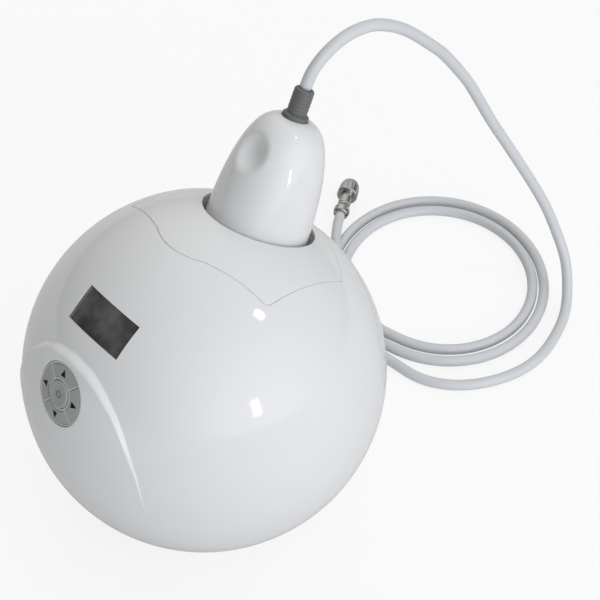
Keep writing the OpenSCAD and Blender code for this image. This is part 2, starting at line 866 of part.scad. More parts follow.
module switch_housing() {
    color("black") on_rear() translate([switch_x, 0, 0]) difference() {
        union() {
            block(switch_w + 2.4, switch_h + 2.4, rear_face, rear_face + 1.5);
            block(switch_w, switch_h, rear_face - 16, rear_face + 0.5);
        }
        block(rocker_w + 2 * rocker_gap, 2 * (rocker_r + rocker_gap), rear_face - 8, rear_face + 5);
        translate([-switch_w / 2 + 0.3, 0, rear_face]) rotate([0, 90, 0])
            cylinder(r = 1 + run_gap, h = switch_w - 0.6, $fn = small_fn);
    }
}

// The rocker tips about its pin. At rest its lower half stands out, which is off.
module power_rocker() {
    color("black") on_rear() translate([switch_x, 0, rear_face]) rotate([-rocker_tilt, 0, 0]) {
        intersection() {
            translate([-rocker_w / 2, 0, 0]) rotate([0, 90, 0])
                cylinder(r = rocker_r, h = rocker_w, $fn = mid_fn);
            translate([-rocker_w / 2, 0, 0]) rotate([90, 0, 90])
                linear_extrude(height = rocker_w) polygon([
                    [-rocker_r, -2.6], [rocker_r, -2.6], [rocker_r, 3.3], [0, 2.3], [-rocker_r, 3.3]
                ]);
        }
        translate([-switch_w / 2 + 0.5, 0, 0]) rotate([0, 90, 0])
            cylinder(r = 1, h = switch_w - 1, $fn = small_fn);
    }
}

// The handpiece's cord plugs in here: its ring screws over the barrel, up to the flange
module handpiece_receptacle() {
    color("silver") on_rear() translate([receptacle_x, 0, 0]) difference() {
        union() {
            translate([0, 0, rear_face]) cylinder(r = 10, h = receptacle_flange_t, $fn = mid_fn);
            translate([0, 0, rear_face - 10])
                cylinder(r = receptacle_r, h = 10 + receptacle_flange_t + receptacle_len, $fn = mid_fn);
            ring(10, receptacle_r - 1, rear_face - rear_t - 2.5, rear_face - rear_t);
        }
        translate([0, 0, receptacle_floor]) cylinder(r = barrel_r + 0.1, h = 20, $fn = mid_fn);
    }
}

// An insulator that enters the plug's barrel, with a hole for each of the plug's pins
module receptacle_insert() {
    color("black") on_rear() translate([receptacle_x, 0, 0]) difference() {
        translate([0, 0, receptacle_floor])
            cylinder(r = insert_r - 0.2, h = receptacle_top - receptacle_floor, $fn = mid_fn);
        for (a = [0 : 90 : 270]) rotate([0, 0, a + 45])
            translate([pin_ring, 0, receptacle_top - pin_len - 0.3])
                cylinder(r = pin_r + 0.15, h = 10, $fn = small_fn);
    }
}

module main_board() {
    color("darkgreen") difference() {
        block(board_w, board_d, board_top - board_t, board_top);
        board_places() cylinder(r = 1.7, h = far, $fn = small_fn);
    }
}

module board_screws() {
    color("silver") board_places() translate([0, 0, board_top]) screw(1, 7, 2.5, 1.6);
}

module transformer_core() {
    color("dimgray") translate([core_x, 0, board_top]) difference() {
        block(core_w, core_d, 0, core_h);
        for (y = [-1, 1]) translate([0, y * (core_leg / 2 + core_window / 2), 0])
            block(core_w + 1, core_window, core_yoke, core_h - core_yoke);
    }
}

// The winding fills the core's windows round its middle leg
module transformer_coil() {
    color("orange") translate([core_x, 0, board_top]) difference() {
        block(core_w - 1, core_leg + 2 * core_window - 0.4, core_yoke + 0.3, core_h - core_yoke - 0.3);
        block(core_w + 1, core_leg + 0.6, core_yoke - 1, core_h - core_yoke + 1);
    }
}

module heat_sink() {
    fins = 5;
    fin_step = (sink_h - 4.8) / (fins - 1);
    color("darkgray") translate([17, 0, board_top]) union() {
        block(4, sink_l, 0, sink_h);
        for (i = [0 : fins - 1]) translate([7, 0, 3 + i * fin_step]) block(12, sink_l, 0, 1.8);
    }
}

module capacitor() {
    color("navy") translate([7, -15, board_top]) cylinder(r = capacitor_d / 2, h = 22, $fn = mid_fn);
}

// Radius of the bell at height h, less wall
function dome_point(a, wall) = [
    (bell_dome_r - wall) * pow(cos(a), 0.56),
    bell_dome_start + (bell_top - wall - bell_dome_start) * pow(sin(a), 1.06)
];
dome_steps = 20;
function dome_outline(wall, hole) = concat(
    [[0, bell_low - (wall > 0 ? 1 : 0)], [bell_low_r - wall, bell_low - (wall > 0 ? 1 : 0)]],
    [for (i = [0 : dome_steps - 1]) dome_point(90 * i / dome_steps, wall)],
    [[hole, dome_point(90 * (dome_steps - 0.6) / dome_steps, wall)[1]], [0, bell_top - wall]]
);

thumb_slope = 17;
thumb_surface = bell_dome_r - 5.8;
module thumb_ball(grow) {
    rotate([0, 0, -90]) translate([thumb_surface, 0, thumb_height]) rotate([0, -thumb_slope, 0])
        translate([thumb_r - thumb_depth, 0, 0]) sphere(r = thumb_r + grow, $fn = big_fn);
}

module handpiece_shell() {
    color("white") on_socket() difference() {
        rotate_extrude($fn = big_fn) polygon(dome_outline(0, 4));
        thumb_ball(0);
        difference() {
            rotate_extrude($fn = big_fn) polygon(dome_outline(bell_wall, 4));
            thumb_ball(bell_wall);
        }
        translate([0, 0, relief_seat]) cylinder(r = relief_flange_r + 0.15, h = 20, $fn = mid_fn);
        cylinder(r = 4.4, h = bell_top + 5, $fn = mid_fn);
        ring(bell_low_r + 1, bell_low_r - 0.8, bell_low - 1, bell_low + 0.8);
    }
}

module head_collar() {
    color("white") on_socket() rotate_extrude($fn = big_fn) polygon([
        [head_r + fit_gap, collar_low - 3], [bell_low_r - 0.8, collar_low - 3],
        [bell_low_r - 0.2, collar_low - 2.2], [bell_low_r, collar_top],
        [collar_in + 2, collar_top], [collar_in + 2, collar_top + 3], [collar_in, collar_top + 3],
        [collar_in, collar_low + 2.2], [head_r + fit_gap, collar_low + 2.2]
    ]);
}

module head_seal() {
    color("black") on_socket() ring(head_r + 0.1, neck_in + 0.3, collar_low, collar_low + 2, big_fn);
}

module transducer_head() {
    color("silver") on_socket() rotate_extrude($fn = big_fn) polygon([
        [0, head_face], [head_r - 1, head_face], [head_r, head_face + 1],
        [head_r, head_face + head_lip_t], [neck_in, head_face + head_lip_t],
        [neck_in, head_face + head_lip_t + 5],
        [mass_r, head_face + head_lip_t + 8], [mass_r, mass_top], [bolt_r + 0.05, mass_top],
        [bolt_r + 0.05, mass_top - 10], [0, mass_top - 10]
    ]);
}

module piezo_rings() {
    color("tan") on_socket() for (i = [0 : piezo_count - 1])
        ring(mass_r, 7.5, mass_top + foil_t + i * piezo_step, mass_top + foil_t + i * piezo_step + ring_t);
}

module electrodes() {
    color("goldenrod") on_socket() for (i = [0 : piezo_count]) {
        ring(mass_r, 7.5, mass_top + i * piezo_step, mass_top + i * piezo_step + foil_t);
        rotate([0, 0, 60 * i]) translate([mass_r + 1.5, 0, 0])
            block(4, 4, mass_top + i * piezo_step, mass_top + i * piezo_step + foil_t);
    }
}

module back_mass() {
    color("gray") on_socket() rotate_extrude($fn = big_fn) polygon([
        [bolt_r + 0.1, piezo_top], [mass_r, piezo_top], [mass_r, piezo_top + back_t - 6],
        [mass_r - 5, piezo_top + back_t], [bolt_r + 0.1, piezo_top + back_t]
    ]);
}

module stack_bolt() {
    color("dimgray") on_socket() union() {
        translate([0, 0, mass_top - 10])
            cylinder(r = bolt_r, h = bolt_end - mass_top + 10, $fn = mid_fn);
        difference() {
            translate([0, 0, piezo_top + back_t]) cylinder(r = 8, h = 7, $fn = mid_fn);
            translate([0, 0, piezo_top + back_t + 3]) cylinder(r = 4, h = 10, $fn = 6);
        }
    }
}

// A plain rubber sleeve on a thick flange that sits in the top of the shell
module strain_relief() {
    color("gray") on_socket() rotate_extrude($fn = mid_fn) polygon([
        [0, relief_seat + 0.1], [relief_flange_r, relief_seat + 0.1],
        [relief_flange_r, relief_flange_top - 1], [relief_flange_r - 0.3, relief_flange_top - 0.3],
        [relief_flange_r - 1, relief_flange_top], [relief_r - 0.2, relief_flange_top + 0.6],
        [relief_r, relief_end - 1.4], [relief_r - 0.4, relief_end - 0.4],
        [relief_r - 1.4, relief_end], [0, relief_end]
    ]);
}

// Sweeps a tube along points. Its rings turn about the tangent, square to the direction up.
module tube(points, r, sides, up) {
    n = len(points);
    tangent = [for (i = [0 : n - 1])
        unit(points[min(i + 1, n - 1)] - points[max(i - 1, 0)])];
    across = [for (t = tangent) unit(cross(t, up))];
    rise = [for (i = [0 : n - 1]) cross(across[i], tangent[i])];
    step = 360 / sides;
    skin = [for (i = [0 : n - 1], k = [0 : sides - 1])
        points[i] + r * (cos((k + 0.5) * step) * across[i] + sin((k + 0.5) * step) * rise[i])];
    sides_faces = [for (i = [0 : n - 2], k = [0 : sides - 1], half = [0, 1])
        let (a = i * sides + k, b = i * sides + (k + 1) % sides)
        half == 0 ? [a, b, b + sides] : [a, b + sides, a + sides]];
    caps = [
        [for (k = [sides - 1 : -1 : 0]) k],
        [for (k = [0 : sides - 1]) (n - 1) * sides + k]
    ];
    polyhedron(points = skin, faces = concat(sides_faces, caps), convexity = 6);
}

// Distance from point p to the stretch between a and b
function stretch_distance(p, a, b) =
    let (k = max(0, min(1, (p - a) * (b - a) / ((b - a) * (b - a)))))
    norm(p - a - k * (b - a));
least_coil_gap = min([
    for (i = [0 : len(coil_points) - 1], j = [0 : len(coil_points) - 2])
        if (abs(i - j) > coil_rings / 2)
            stretch_distance(coil_points[i], coil_points[j], coil_points[j + 1])
]) - cord_d;
function route_length(p) = len(p) < 2 ? 0 :
    [for (i = 0, s = 0; i < len(p); s = s + (i + 1 < len(p) ? norm(p[i + 1] - p[i]) : 0), i = i + 1) s]
    [len(p) - 1];
echo("Least gap between the coil's turns", least_coil_gap);
echo("Length of the cord", route_length(lead_points) + route_length(run_points)
    + route_length(coil_points) + route_length(tail_points));

module cord_lead() {
    color("gainsboro") tube(lead_points, cord_r, 8, [1, 0, 0]);
}
module cord_run() {
    color("gainsboro") tube(run_points, cord_r, 8, [0, 0, 1]);
}
module cord_coil() {
    color("gainsboro") tube(coil_points, cord_r, 6, [0, 0, 1]);
}
module cord_tail() {
    color("gainsboro") tube(tail_points, cord_r, 8, [0, 0, 1]);
}

module plug_body() {
    collar = ring_start + ring_lip + fit_gap;
    color("silver") on_plug() difference() {
        rotate_extrude($fn = mid_fn) polygon([
            [0, clamp_len], [neck_r - 0.4, clamp_len], [neck_r, clamp_len + 0.4], [neck_r, collar],
            [ring_bore - 0.2, collar], [ring_bore - 0.2, collar + 1.8], [barrel_r, collar + 1.8],
            [barrel_r, plug_len - 1], [0, plug_len - 1]
        ]);
        translate([0, 0, plug_len - 9]) cylinder(r = insert_r, h = 20, $fn = mid_fn);
        translate([barrel_r, 0, plug_len - 5]) block(2, 1.6, 0, 10);
    }
}

module plug_insert() {
    color("black") on_plug() translate([0, 0, plug_len - 9])
        cylinder(r = insert_r - 0.05, h = 9 - insert_face, $fn = mid_fn);
}

module plug_pins() {
    color("gold") on_plug() for (a = [0 : 90 : 270]) rotate([0, 0, a + 45])
        translate([pin_ring, 0, plug_len - insert_face]) cylinder(r = pin_r, h = pin_len, $fn = small_fn);
}

// The acorn-shaped ring that screws onto the receptacle, with grip grooves that run out on its taper
module coupling_ring() {
    grooves = 12;
    straight = 0.25 * ring_len;
    color("silver") on_plug() difference() {
        rotate_extrude($fn = mid_fn) polygon(concat(
            [
                [neck_r + run_gap, ring_start], [ring_r - 0.5, ring_start], [ring_r, ring_start + 0.6],
                [ring_r, ring_start + straight]
            ],
            [for (a = [15 : 15 : 75]) [ring_mouth_r + (ring_r - ring_mouth_r) * cos(a),
                ring_start + straight + (0.95 * ring_len - straight) * sin(a)]],
            [
                [ring_mouth_r, plug_len], [ring_bore, plug_len],
                [ring_bore, ring_start + ring_lip], [neck_r + run_gap, ring_start + ring_lip]
            ]
        ));
        for (i = [0 : grooves - 1]) rotate([0, 0, i * 360 / grooves])
            translate([ring_r + 0.1, 0, ring_start + 1.8]) cylinder(r = 0.8, h = far, $fn = small_fn);
    }
}

module clamp_screw_places() {
    for (s = [-1, 1]) translate([0, s * 3.9, 4]) rotate([0, -90, 0]) children();
}

// The flared clamp that grips the cord. A saw cut parts its two jaws, and two screws close them.
module cord_clamp() {
    color("silver") on_plug() difference() {
        rotate_extrude($fn = mid_fn) polygon([
            [0, 0], [4.5, 0], [5.2, 0.9], [5.7, 3.2], [5.7, 4.8], [5.2, 7], [neck_r, 9],
            [neck_r - 0.2, 9.4], [neck_r - 0.2, clamp_len], [0, clamp_len]
        ]);
        block(0.8, 20, -1, 7.6);
        clamp_screw_places() {
            translate([0, 0, -10]) cylinder(r = 0.85, h = 20, $fn = small_fn);
            translate([0, 0, 2.6]) cylinder(r = 1.5, h = 10, $fn = small_fn);
        }
    }
}

module clamp_screws() {
    color("silver") on_plug() clamp_screw_places() translate([0, 0, 2.6]) screw(0.8, 5.6, 1.35, 1);
}

main_shell();
top_cover();
socket_cup();
socket_screws();
rest_pad();
bottom_plate();
rubber_feet();
base_screws();
display_window();
display_panel();
display_board();
display_screws();
keypad_bezel();
key_up();
key_right();
key_down();
key_left();
power_key();
key_board();
tact_switches();
rear_panel();
rear_screws();
mains_inlet();
inlet_pins();
switch_housing();
power_rocker();
handpiece_receptacle();
receptacle_insert();
main_board();
board_screws();
transformer_core();
transformer_coil();
heat_sink();
capacitor();
handpiece_shell();
head_collar();
head_seal();
transducer_head();
piezo_rings();
electrodes();
back_mass();
stack_bolt();
strain_relief();
cord_lead();
cord_run();
cord_coil();
cord_tail();
plug_body();
plug_insert();
plug_pins();
coupling_ring();
cord_clamp();
clamp_screws();
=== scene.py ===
import json
import math

import bpy
import bmesh
import numpy as np
from mathutils import Matrix, Vector


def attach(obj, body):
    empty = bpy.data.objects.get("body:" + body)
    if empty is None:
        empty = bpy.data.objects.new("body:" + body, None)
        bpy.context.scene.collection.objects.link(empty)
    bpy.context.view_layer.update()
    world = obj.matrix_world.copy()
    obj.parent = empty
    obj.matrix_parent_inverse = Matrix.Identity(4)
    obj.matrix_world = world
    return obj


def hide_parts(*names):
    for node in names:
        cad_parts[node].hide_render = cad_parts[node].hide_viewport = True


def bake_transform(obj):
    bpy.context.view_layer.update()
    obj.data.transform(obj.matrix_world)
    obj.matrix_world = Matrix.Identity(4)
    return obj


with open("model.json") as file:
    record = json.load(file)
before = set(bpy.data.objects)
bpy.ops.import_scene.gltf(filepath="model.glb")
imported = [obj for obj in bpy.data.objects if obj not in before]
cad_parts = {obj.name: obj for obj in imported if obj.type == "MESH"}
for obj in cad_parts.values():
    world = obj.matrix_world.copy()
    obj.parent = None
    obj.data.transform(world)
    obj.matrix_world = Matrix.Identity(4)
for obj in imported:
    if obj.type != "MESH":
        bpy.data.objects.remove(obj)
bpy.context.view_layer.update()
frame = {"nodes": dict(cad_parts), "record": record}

MM = 0.001

# Main sizes, the same as in the part's source, in millimetres
BALL_R = 105.0
BASE_FLAT_R = 54.0
FOOT_H = 3.0
CENTRE_H = FOOT_H + math.sqrt(BALL_R ** 2 - BASE_FLAT_R ** 2)
CENTRE = np.array([0.0, 0.0, CENTRE_H])
FRONT_TURN = math.radians(2.1)
FRONT_SHIFT = np.array([0.0, -0.6, 5.5])
KEYPAD_ANGLE = math.radians(22.2)
KEYPAD_BALL_R = BALL_R - 1.2
KEYPAD_R, KEYPAD_RING = 18.0, 1.2
POWER_R, POWER_RING, RIB_W = 7.8, 1.2, 1.2
KEY_PROUD, KEY_GAP, KEY_FLANGE_T = 0.9, 0.3, 1.1
DISPLAY_ANGLE = math.radians(48.1)
DISPLAY_ROLL = math.radians(-4)
UPPER_TURN = math.radians(4.5)
SOCKET_TILT = math.radians(24.5)
WINDOW_W, WINDOW_H, WINDOW_SINK = 43.0, 20.8, 0.5
CROWN_R, CROWN_EDGE = BALL_R + 8.0, 57.0
CROWN_LOW = math.sqrt(CROWN_R ** 2 - CROWN_EDGE ** 2) - math.sqrt(BALL_R ** 2 - CROWN_EDGE ** 2)
CORD_D = 7.0


# Frames
def turn(axis, angle):
    """A turn about one of the axes."""
    return np.array(Matrix.Rotation(angle, 3, axis))


SOCKET_M = turn("X", -SOCKET_TILT)
FRONT_M = turn("Z", FRONT_TURN)
KEYPAD_M = FRONT_M @ turn("X", math.pi / 2 - KEYPAD_ANGLE)
DISPLAY_M = turn("Z", UPPER_TURN) @ turn("X", math.pi / 2 - DISPLAY_ANGLE) @ turn("Z", DISPLAY_ROLL)


def place(points, m):
    """Points in a local frame at the ball's middle as points in the part's frame, in millimetres."""
    return np.asarray(points, float) @ m.T + CENTRE


def mesh_object(name, verts, faces, smooth=True):
    """A mesh from points in millimetres."""
    me = bpy.data.meshes.new(name)
    me.from_pydata([tuple(v) for v in np.asarray(verts, float) * MM], [], [tuple(f) for f in faces])
    me.validate()
    me.update()
    o = bpy.data.objects.new(name, me)
    bpy.context.scene.collection.objects.link(o)
    if smooth:
        me.polygons.foreach_set("use_smooth", [True] * len(me.polygons))
    return o


def grid_faces(rows, cols, closed=True):
    """Faces between rows of points. Each row is a closed loop, or a line where closed is False."""
    out = []
    last = cols if closed else cols - 1
    for i in range(rows - 1):
        for j in range(last):
            k = (j + 1) % cols
            out.append((i * cols + j, i * cols + k, (i + 1) * cols + k, (i + 1) * cols + j))
    return out


TURN_SEGMENTS = 96


def revolve(name, profile, m):
    """A closed surface turned round the local z axis. profile is [(r, z)], the outside on its right."""
    verts = []
    for r, z in profile:
        for j in range(TURN_SEGMENTS):
            a = 2 * math.pi * j / TURN_SEGMENTS
            verts.append((r * math.cos(a), r * math.sin(a), z))
    faces = grid_faces(len(profile), TURN_SEGMENTS)
    faces.append(tuple(range(TURN_SEGMENTS))[::-1])
    n = (len(profile) - 1) * TURN_SEGMENTS
    faces.append(tuple(range(n, n + TURN_SEGMENTS)))
    return mesh_object(name, place(verts, m), faces)


def crisp(o, angle=32):
    """Smooth shading that stays sharp at edges steeper than angle."""
    me = o.data
    me.polygons.foreach_set("use_smooth", [True] * len(me.polygons))
    me.set_sharp_from_angle(angle=math.radians(angle))
    return o


# Camera
# Fitted to the photograph: direction of view, place in ball radii from the ball's middle, focal length
AZIMUTH, ELEVATION = math.radians(51.2), math.radians(39.8)
CAMERA_PLACE = Vector((6.1116, -4.2440, 6.6810))
FOCAL_LENGTH, SENSOR_WIDTH = 108.66, 36.0
cam_data = bpy.data.cameras.new("camera")
cam_data.lens = FOCAL_LENGTH
cam_data.sensor_width = SENSOR_WIDTH
cam_data.clip_start, cam_data.clip_end = 0.05, 50.0
cam = bpy.data.objects.new("camera", cam_data)
bpy.context.scene.collection.objects.link(cam)
right = Vector((math.cos(AZIMUTH), math.sin(AZIMUTH), 0))
flat = math.cos(ELEVATION)
back = Vector((math.sin(AZIMUTH) * flat, -math.cos(AZIMUTH) * flat, math.sin(ELEVATION)))
up = back.cross(right)
cam_at = Vector(CENTRE * MM) + BALL_R * MM * CAMERA_PLACE
cam.matrix_world = Matrix((
    (right.x, up.x, back.x, cam_at.x),
    (right.y, up.y, back.y, cam_at.y),
    (right.z, up.z, back.z, cam_at.z),
    (0, 0, 0, 1),
))
bpy.context.scene.camera = cam
bpy.context.scene.view_settings.view_transform = "Standard"


# Materials
PLASTIC_IOR = 1.46


def principled(name, color, rough, metal=0.0, spec=0.5):
    mat = bpy.data.materials.new(name)
    mat.use_nodes = True
    nt = mat.node_tree
    p = nt.nodes["Principled BSDF"]
    p.inputs["Base Color"].default_value = (*color, 1)
    p.inputs["Roughness"].default_value = rough
    p.inputs["Metallic"].default_value = metal
    p.inputs["IOR"].default_value = PLASTIC_IOR
    p.inputs["Specular IOR Level"].default_value = spec
    return mat, nt, p


def noise(nt, scale, detail, stretch=None):
    """Noise in the piece's own coordinates, drawn out where stretch is given."""
    coord = nt.nodes.new("ShaderNodeTexCoord")
    out = coord.outputs["Object"]
    if stretch:
        m = nt.nodes.new("ShaderNodeMapping")
        m.inputs["Scale"].default_value = stretch
        nt.links.new(out, m.inputs["Vector"])
        out = m.outputs["Vector"]
    n = nt.nodes.new("ShaderNodeTexNoise")
    n.inputs["Scale"].default_value = scale
    n.inputs["Detail"].default_value = detail
    nt.links.new(out, n.inputs["Vector"])
    return n.outputs["Fac"]


def ramp(nt, fac, low, high, a=0.35, b=0.65):
    """fac from a to b becomes low to high."""
    r = nt.nodes.new("ShaderNodeMapRange")
    r.inputs["From Min"].default_value = a
    r.inputs["From Max"].default_value = b
    r.inputs["To Min"].default_value = low
    r.inputs["To Max"].default_value = high
    nt.links.new(fac, r.inputs["Value"])
    return r.outputs["Result"]


def mix_color(nt, fac, a, b):
    m = nt.nodes.new("ShaderNodeMix")
    m.data_type = "RGBA"
    nt.links.new(fac, m.inputs["Factor"])
    m.inputs["A"].default_value = (*a, 1)
    m.inputs["B"].default_value = (*b, 1)
    return m.outputs["Result"]


def bump(nt, p, height, distance):
    """A fine relief on the surface, distance metres deep."""
    b = nt.nodes.new("ShaderNodeBump")
    b.inputs["Distance"].default_value = distance
    nt.links.new(height, b.inputs["Height"])
    nt.links.new(b.outputs["Normal"], p.inputs["Normal"])


def moulded(name, color, rough, grain=0.00002, vary=0.04, spec=0.5):
    """Moulded plastic or rubber: slight colour drift, uneven gloss and a fine surface grain."""
    mat, nt, p = principled(name, color, rough, spec=spec)
    drift = noise(nt, 22, 2.0)
    low = tuple(c * (1 - vary) for c in color)
    high = tuple(min(1, c * (1 + vary * 0.5)) for c in color)
    nt.links.new(mix_color(nt, drift, low, high), p.inputs["Base Color"])
    nt.links.new(ramp(nt, noise(nt, 60, 4.0), rough * 0.85, rough * 1.2), p.inputs["Roughness"])
    bump(nt, p, noise(nt, 900, 2.0), grain)
    return mat


def metal(name, color, rough, stretch=(1, 1, 1), scale=700):
    """Metal with worn gloss, slight colour drift and fine marks, drawn out where it is brushed or wound."""
    mat, nt, p = principled(name, color, rough, metal=1.0)
    streak = noise(nt, scale, 4.0, stretch=stretch)
    nt.links.new(ramp(nt, streak, rough * 0.7, rough * 1.4), p.inputs["Roughness"])
    low = tuple(c * 0.88 for c in color)
    nt.links.new(mix_color(nt, noise(nt, 150, 3.0), low, color), p.inputs["Base Color"])
    bump(nt, p, streak, 0.00001)
    return mat


# By material slot of the record, and a few for the scene's own pieces
LOOK = {}
LOOK["shell_white"] = moulded("gloss_white", (0.80, 0.80, 0.792), 0.07, grain=0.000004, vary=0.012)
LOOK["bell_white"] = moulded("bell_white", (0.79, 0.79, 0.782), 0.05, grain=0.000004, vary=0.012)
LOOK["cup_white"] = moulded("satin_white", (0.74, 0.745, 0.75), 0.38, vary=0.02)
LOOK["keypad_light"] = moulded("keypad_light", (0.60, 0.605, 0.60), 0.30, vary=0.03)
LOOK["key_grey"] = moulded("key_grey", (0.375, 0.38, 0.37), 0.36, vary=0.05)
LOOK["power_grey"] = moulded("power_grey", (0.38, 0.385, 0.37), 0.34, vary=0.05)
LOOK["mark_black"] = moulded("mark_black", (0.004, 0.004, 0.004), 0.6, spec=0.15)
LOOK["mark_grey"] = moulded("mark_grey", (0.11, 0.11, 0.10), 0.6, spec=0.2)
LOOK["rubber_grey"] = moulded("rubber_grey", (0.06, 0.06, 0.062), 0.65, grain=0.00004)
LOOK["seal_black"] = moulded("seal_black", (0.02, 0.02, 0.02), 0.5)


def smoked_with_painted_reflections():
    """The unlit display behind its smoked window: its own dark smoky tone, with paler cloudy patches of
    painted reflection in its colour.
    """
    mat, nt, p = principled("display_smoke", (0.04, 0.04, 0.04), 0.14)
    # Painted reflection: the paler patches of these noise clouds stand for what the glossy window reflects
    painted_reflection_clouds = nt.nodes.new("ShaderNodeMath")
    painted_reflection_clouds.operation = "MULTIPLY"
    nt.links.new(ramp(nt, noise(nt, 42, 3.0), 0.0, 1.0, 0.36, 0.6), painted_reflection_clouds.inputs[0])
    nt.links.new(ramp(nt, noise(nt, 120, 3.0), 0.6, 1.1, 0.36, 0.64), painted_reflection_clouds.inputs[1])
    nt.links.new(mix_color(nt, painted_reflection_clouds.outputs[0], (0.028, 0.028, 0.027), (0.12, 0.12, 0.117)),
                 p.inputs["Base Color"])
    nt.links.new(ramp(nt, noise(nt, 90, 4.0), 0.1, 0.24), p.inputs["Roughness"])
    return mat


LOOK["display_smoke"] = smoked_with_painted_reflections()
LOOK["display_black"] = moulded("display_black", (0.02, 0.022, 0.025), 0.12)
# Painted reflection: the colour of the pale strip at the window's short edge
LOOK["display_edge"] = moulded("display_edge", (0.2, 0.2, 0.195), 0.3, vary=0.3)
LOOK["board_green"] = moulded("board_green", (0.03, 0.14, 0.06), 0.4, vary=0.15)
LOOK["black_plastic"] = moulded("black_plastic", (0.022, 0.022, 0.024), 0.42, grain=0.00003)
LOOK["contact_brass"] = metal("contact_brass", (0.72, 0.53, 0.25), 0.25)
LOOK["nickel"] = metal("nickel", (0.62, 0.62, 0.61), 0.16)
LOOK["steel"] = metal("steel", (0.55, 0.55, 0.56), 0.3)
LOOK["plug_metal"] = metal("plug_metal", (0.46, 0.46, 0.45), 0.26, scale=900)
LOOK["core_steel"] = metal("core_steel", (0.2, 0.2, 0.21), 0.5, stretch=(1, 1, 12))
LOOK["winding_copper"] = metal("winding_copper", (0.6, 0.28, 0.12), 0.35, stretch=(1, 1, 30))
LOOK["aluminium"] = metal("aluminium", (0.72, 0.72, 0.73), 0.28)
LOOK["capacitor_blue"] = moulded("capacitor_blue", (0.02, 0.04, 0.14), 0.3)
LOOK["ceramic"] = moulded("ceramic", (0.5, 0.45, 0.36), 0.6, vary=0.1)
LOOK["relief_grey"] = moulded("relief_grey", (0.15, 0.15, 0.148), 0.5, grain=0.00003, vary=0.1)
LOOK["cord_white"] = moulded("cord_white", (0.66, 0.67, 0.68), 0.36, grain=0.00001, vary=0.02)


def paint(o, name):
    """Gives a piece one of the materials in place of its own."""
    o.data.materials.clear()
    o.data.materials.append(LOOK[name])
    return o


for sub in frame["record"]["subparts"]:
    node = frame["nodes"][sub["node"]]
    if sub["material_slot"] in LOOK:
        for s in node.material_slots:
            s.material = LOOK[sub["material_slot"]]
    crisp(node)


# Housing
# The foot of the raised front on the ball: x and height in the front's frame, from the top to the right
FOOT_HALF = [
    (0, 62.0), (7.5, 61.2), (16.4, 59.3), (26, 54.4), (33.7, 48.2), (39.3, 42.5), (46.8, 30.5),
    (51.5, 20), (54.2, 11.6), (56.2, 0), (56.9, -12), (56.9, -30), (56.9, -50),
]
# Width of the slope inside that foot where the front stands so high above the ball
SLOPE_HEIGHTS = [0, 1, 2.1, 2.73, 3.6, 4]
SLOPE_WIDTHS = [0.5, 1.15, 2.35, 3.6, 6.6, 7.3]
# Shares of the slope over which its foot and its upper end are rounded
SLOPE_FOOT, SLOPE_TOP = 0.25, 0.5
# Heights over which the front fades into the ball, and the crown into the ball
FRONT_FADE, CROWN_FADE = 0.5, 0.1
# Half angle round the keypad in which the shell stays as it is
KEYPAD_KEEP = math.radians(10.6)
# A point counts as one of the outside if it lies no deeper than this under the ball
EDGE_DEPTH, POINT_DEPTH, NORMAL_DEPTH = 0.6, 0.5, 2.2
# Where the front is high enough, the mesh is refined to FINE_EDGE from outside the foot to past the slope
FINE_EDGE, FINE_OUTSIDE, FINE_PAST, FINE_LEAST_RISE = 0.7, 2.6, 1.0, 0.1
# Rounds of refining at the most, and the y in front of which it is done
FINE_ROUNDS, FINE_BACK = 10, -20
# Points from this far outside the foot are laid on the soft surface
MOVE_OUTSIDE = 4.0
# A corner takes the surface's normal if it lies this near to it and its face agrees by this cosine
NORMAL_NEAR, NORMAL_AGREES = 0.25, 0.8
# Points handled at once, and the distance given to points behind the ball's middle
CHUNK, FAR_OUTSIDE = 2000, -99
# Points nearer than this are one, in metres
JOIN_DISTANCE = 1e-6


def unit(v):
    v = np.asarray(v, float)
    return v / np.linalg.norm(v)


def catmull(points, step):
    """A smooth line through points, centripetal, with a point about every step."""
    pts = np.vstack([2 * points[0] - points[1], points, 2 * points[-1] - points[-2]])
    out = []
    for i in range(1, len(pts) - 2):
        p0, p1, p2, p3 = pts[i - 1:i + 3]
        t0 = 0.0
        t1 = t0 + np.linalg.norm(p1 - p0) ** 0.5
        t2 = t1 + np.linalg.norm(p2 - p1) ** 0.5
        t3 = t2 + np.linalg.norm(p3 - p2) ** 0.5
        n = max(2, int(round(np.linalg.norm(p2 - p1) / step)))
        for k in range(n):
            t = t1 + (t2 - t1) * k / n
            a1 = (t1 - t) / (t1 - t0) * p0 + (t - t0) / (t1 - t0) * p1
            a2 = (t2 - t) / (t2 - t1) * p1 + (t - t1) / (t2 - t1) * p2
            a3 = (t3 - t) / (t3 - t2) * p2 + (t - t2) / (t3 - t2) * p3
            b1 = (t2 - t) / (t2 - t0) * a1 + (t - t0) / (t2 - t0) * a2
            b2 = (t3 - t) / (t3 - t1) * a2 + (t - t1) / (t3 - t1) * a3
            out.append((t2 - t) / (t2 - t1) * b1 + (t - t1) / (t2 - t1) * b2)
    out.append(pts[-2])
    return np.array(out)


FOOT_STEP = 1.5
foot_flat = catmull(np.array([(-x, z) for x, z in FOOT_HALF[:0:-1]] + FOOT_HALF, float), FOOT_STEP)
foot_line = np.stack([
    foot_flat[:, 0], -np.sqrt(BALL_R ** 2 - (foot_flat ** 2).sum(1)), foot_flat[:, 1],
], axis=1)


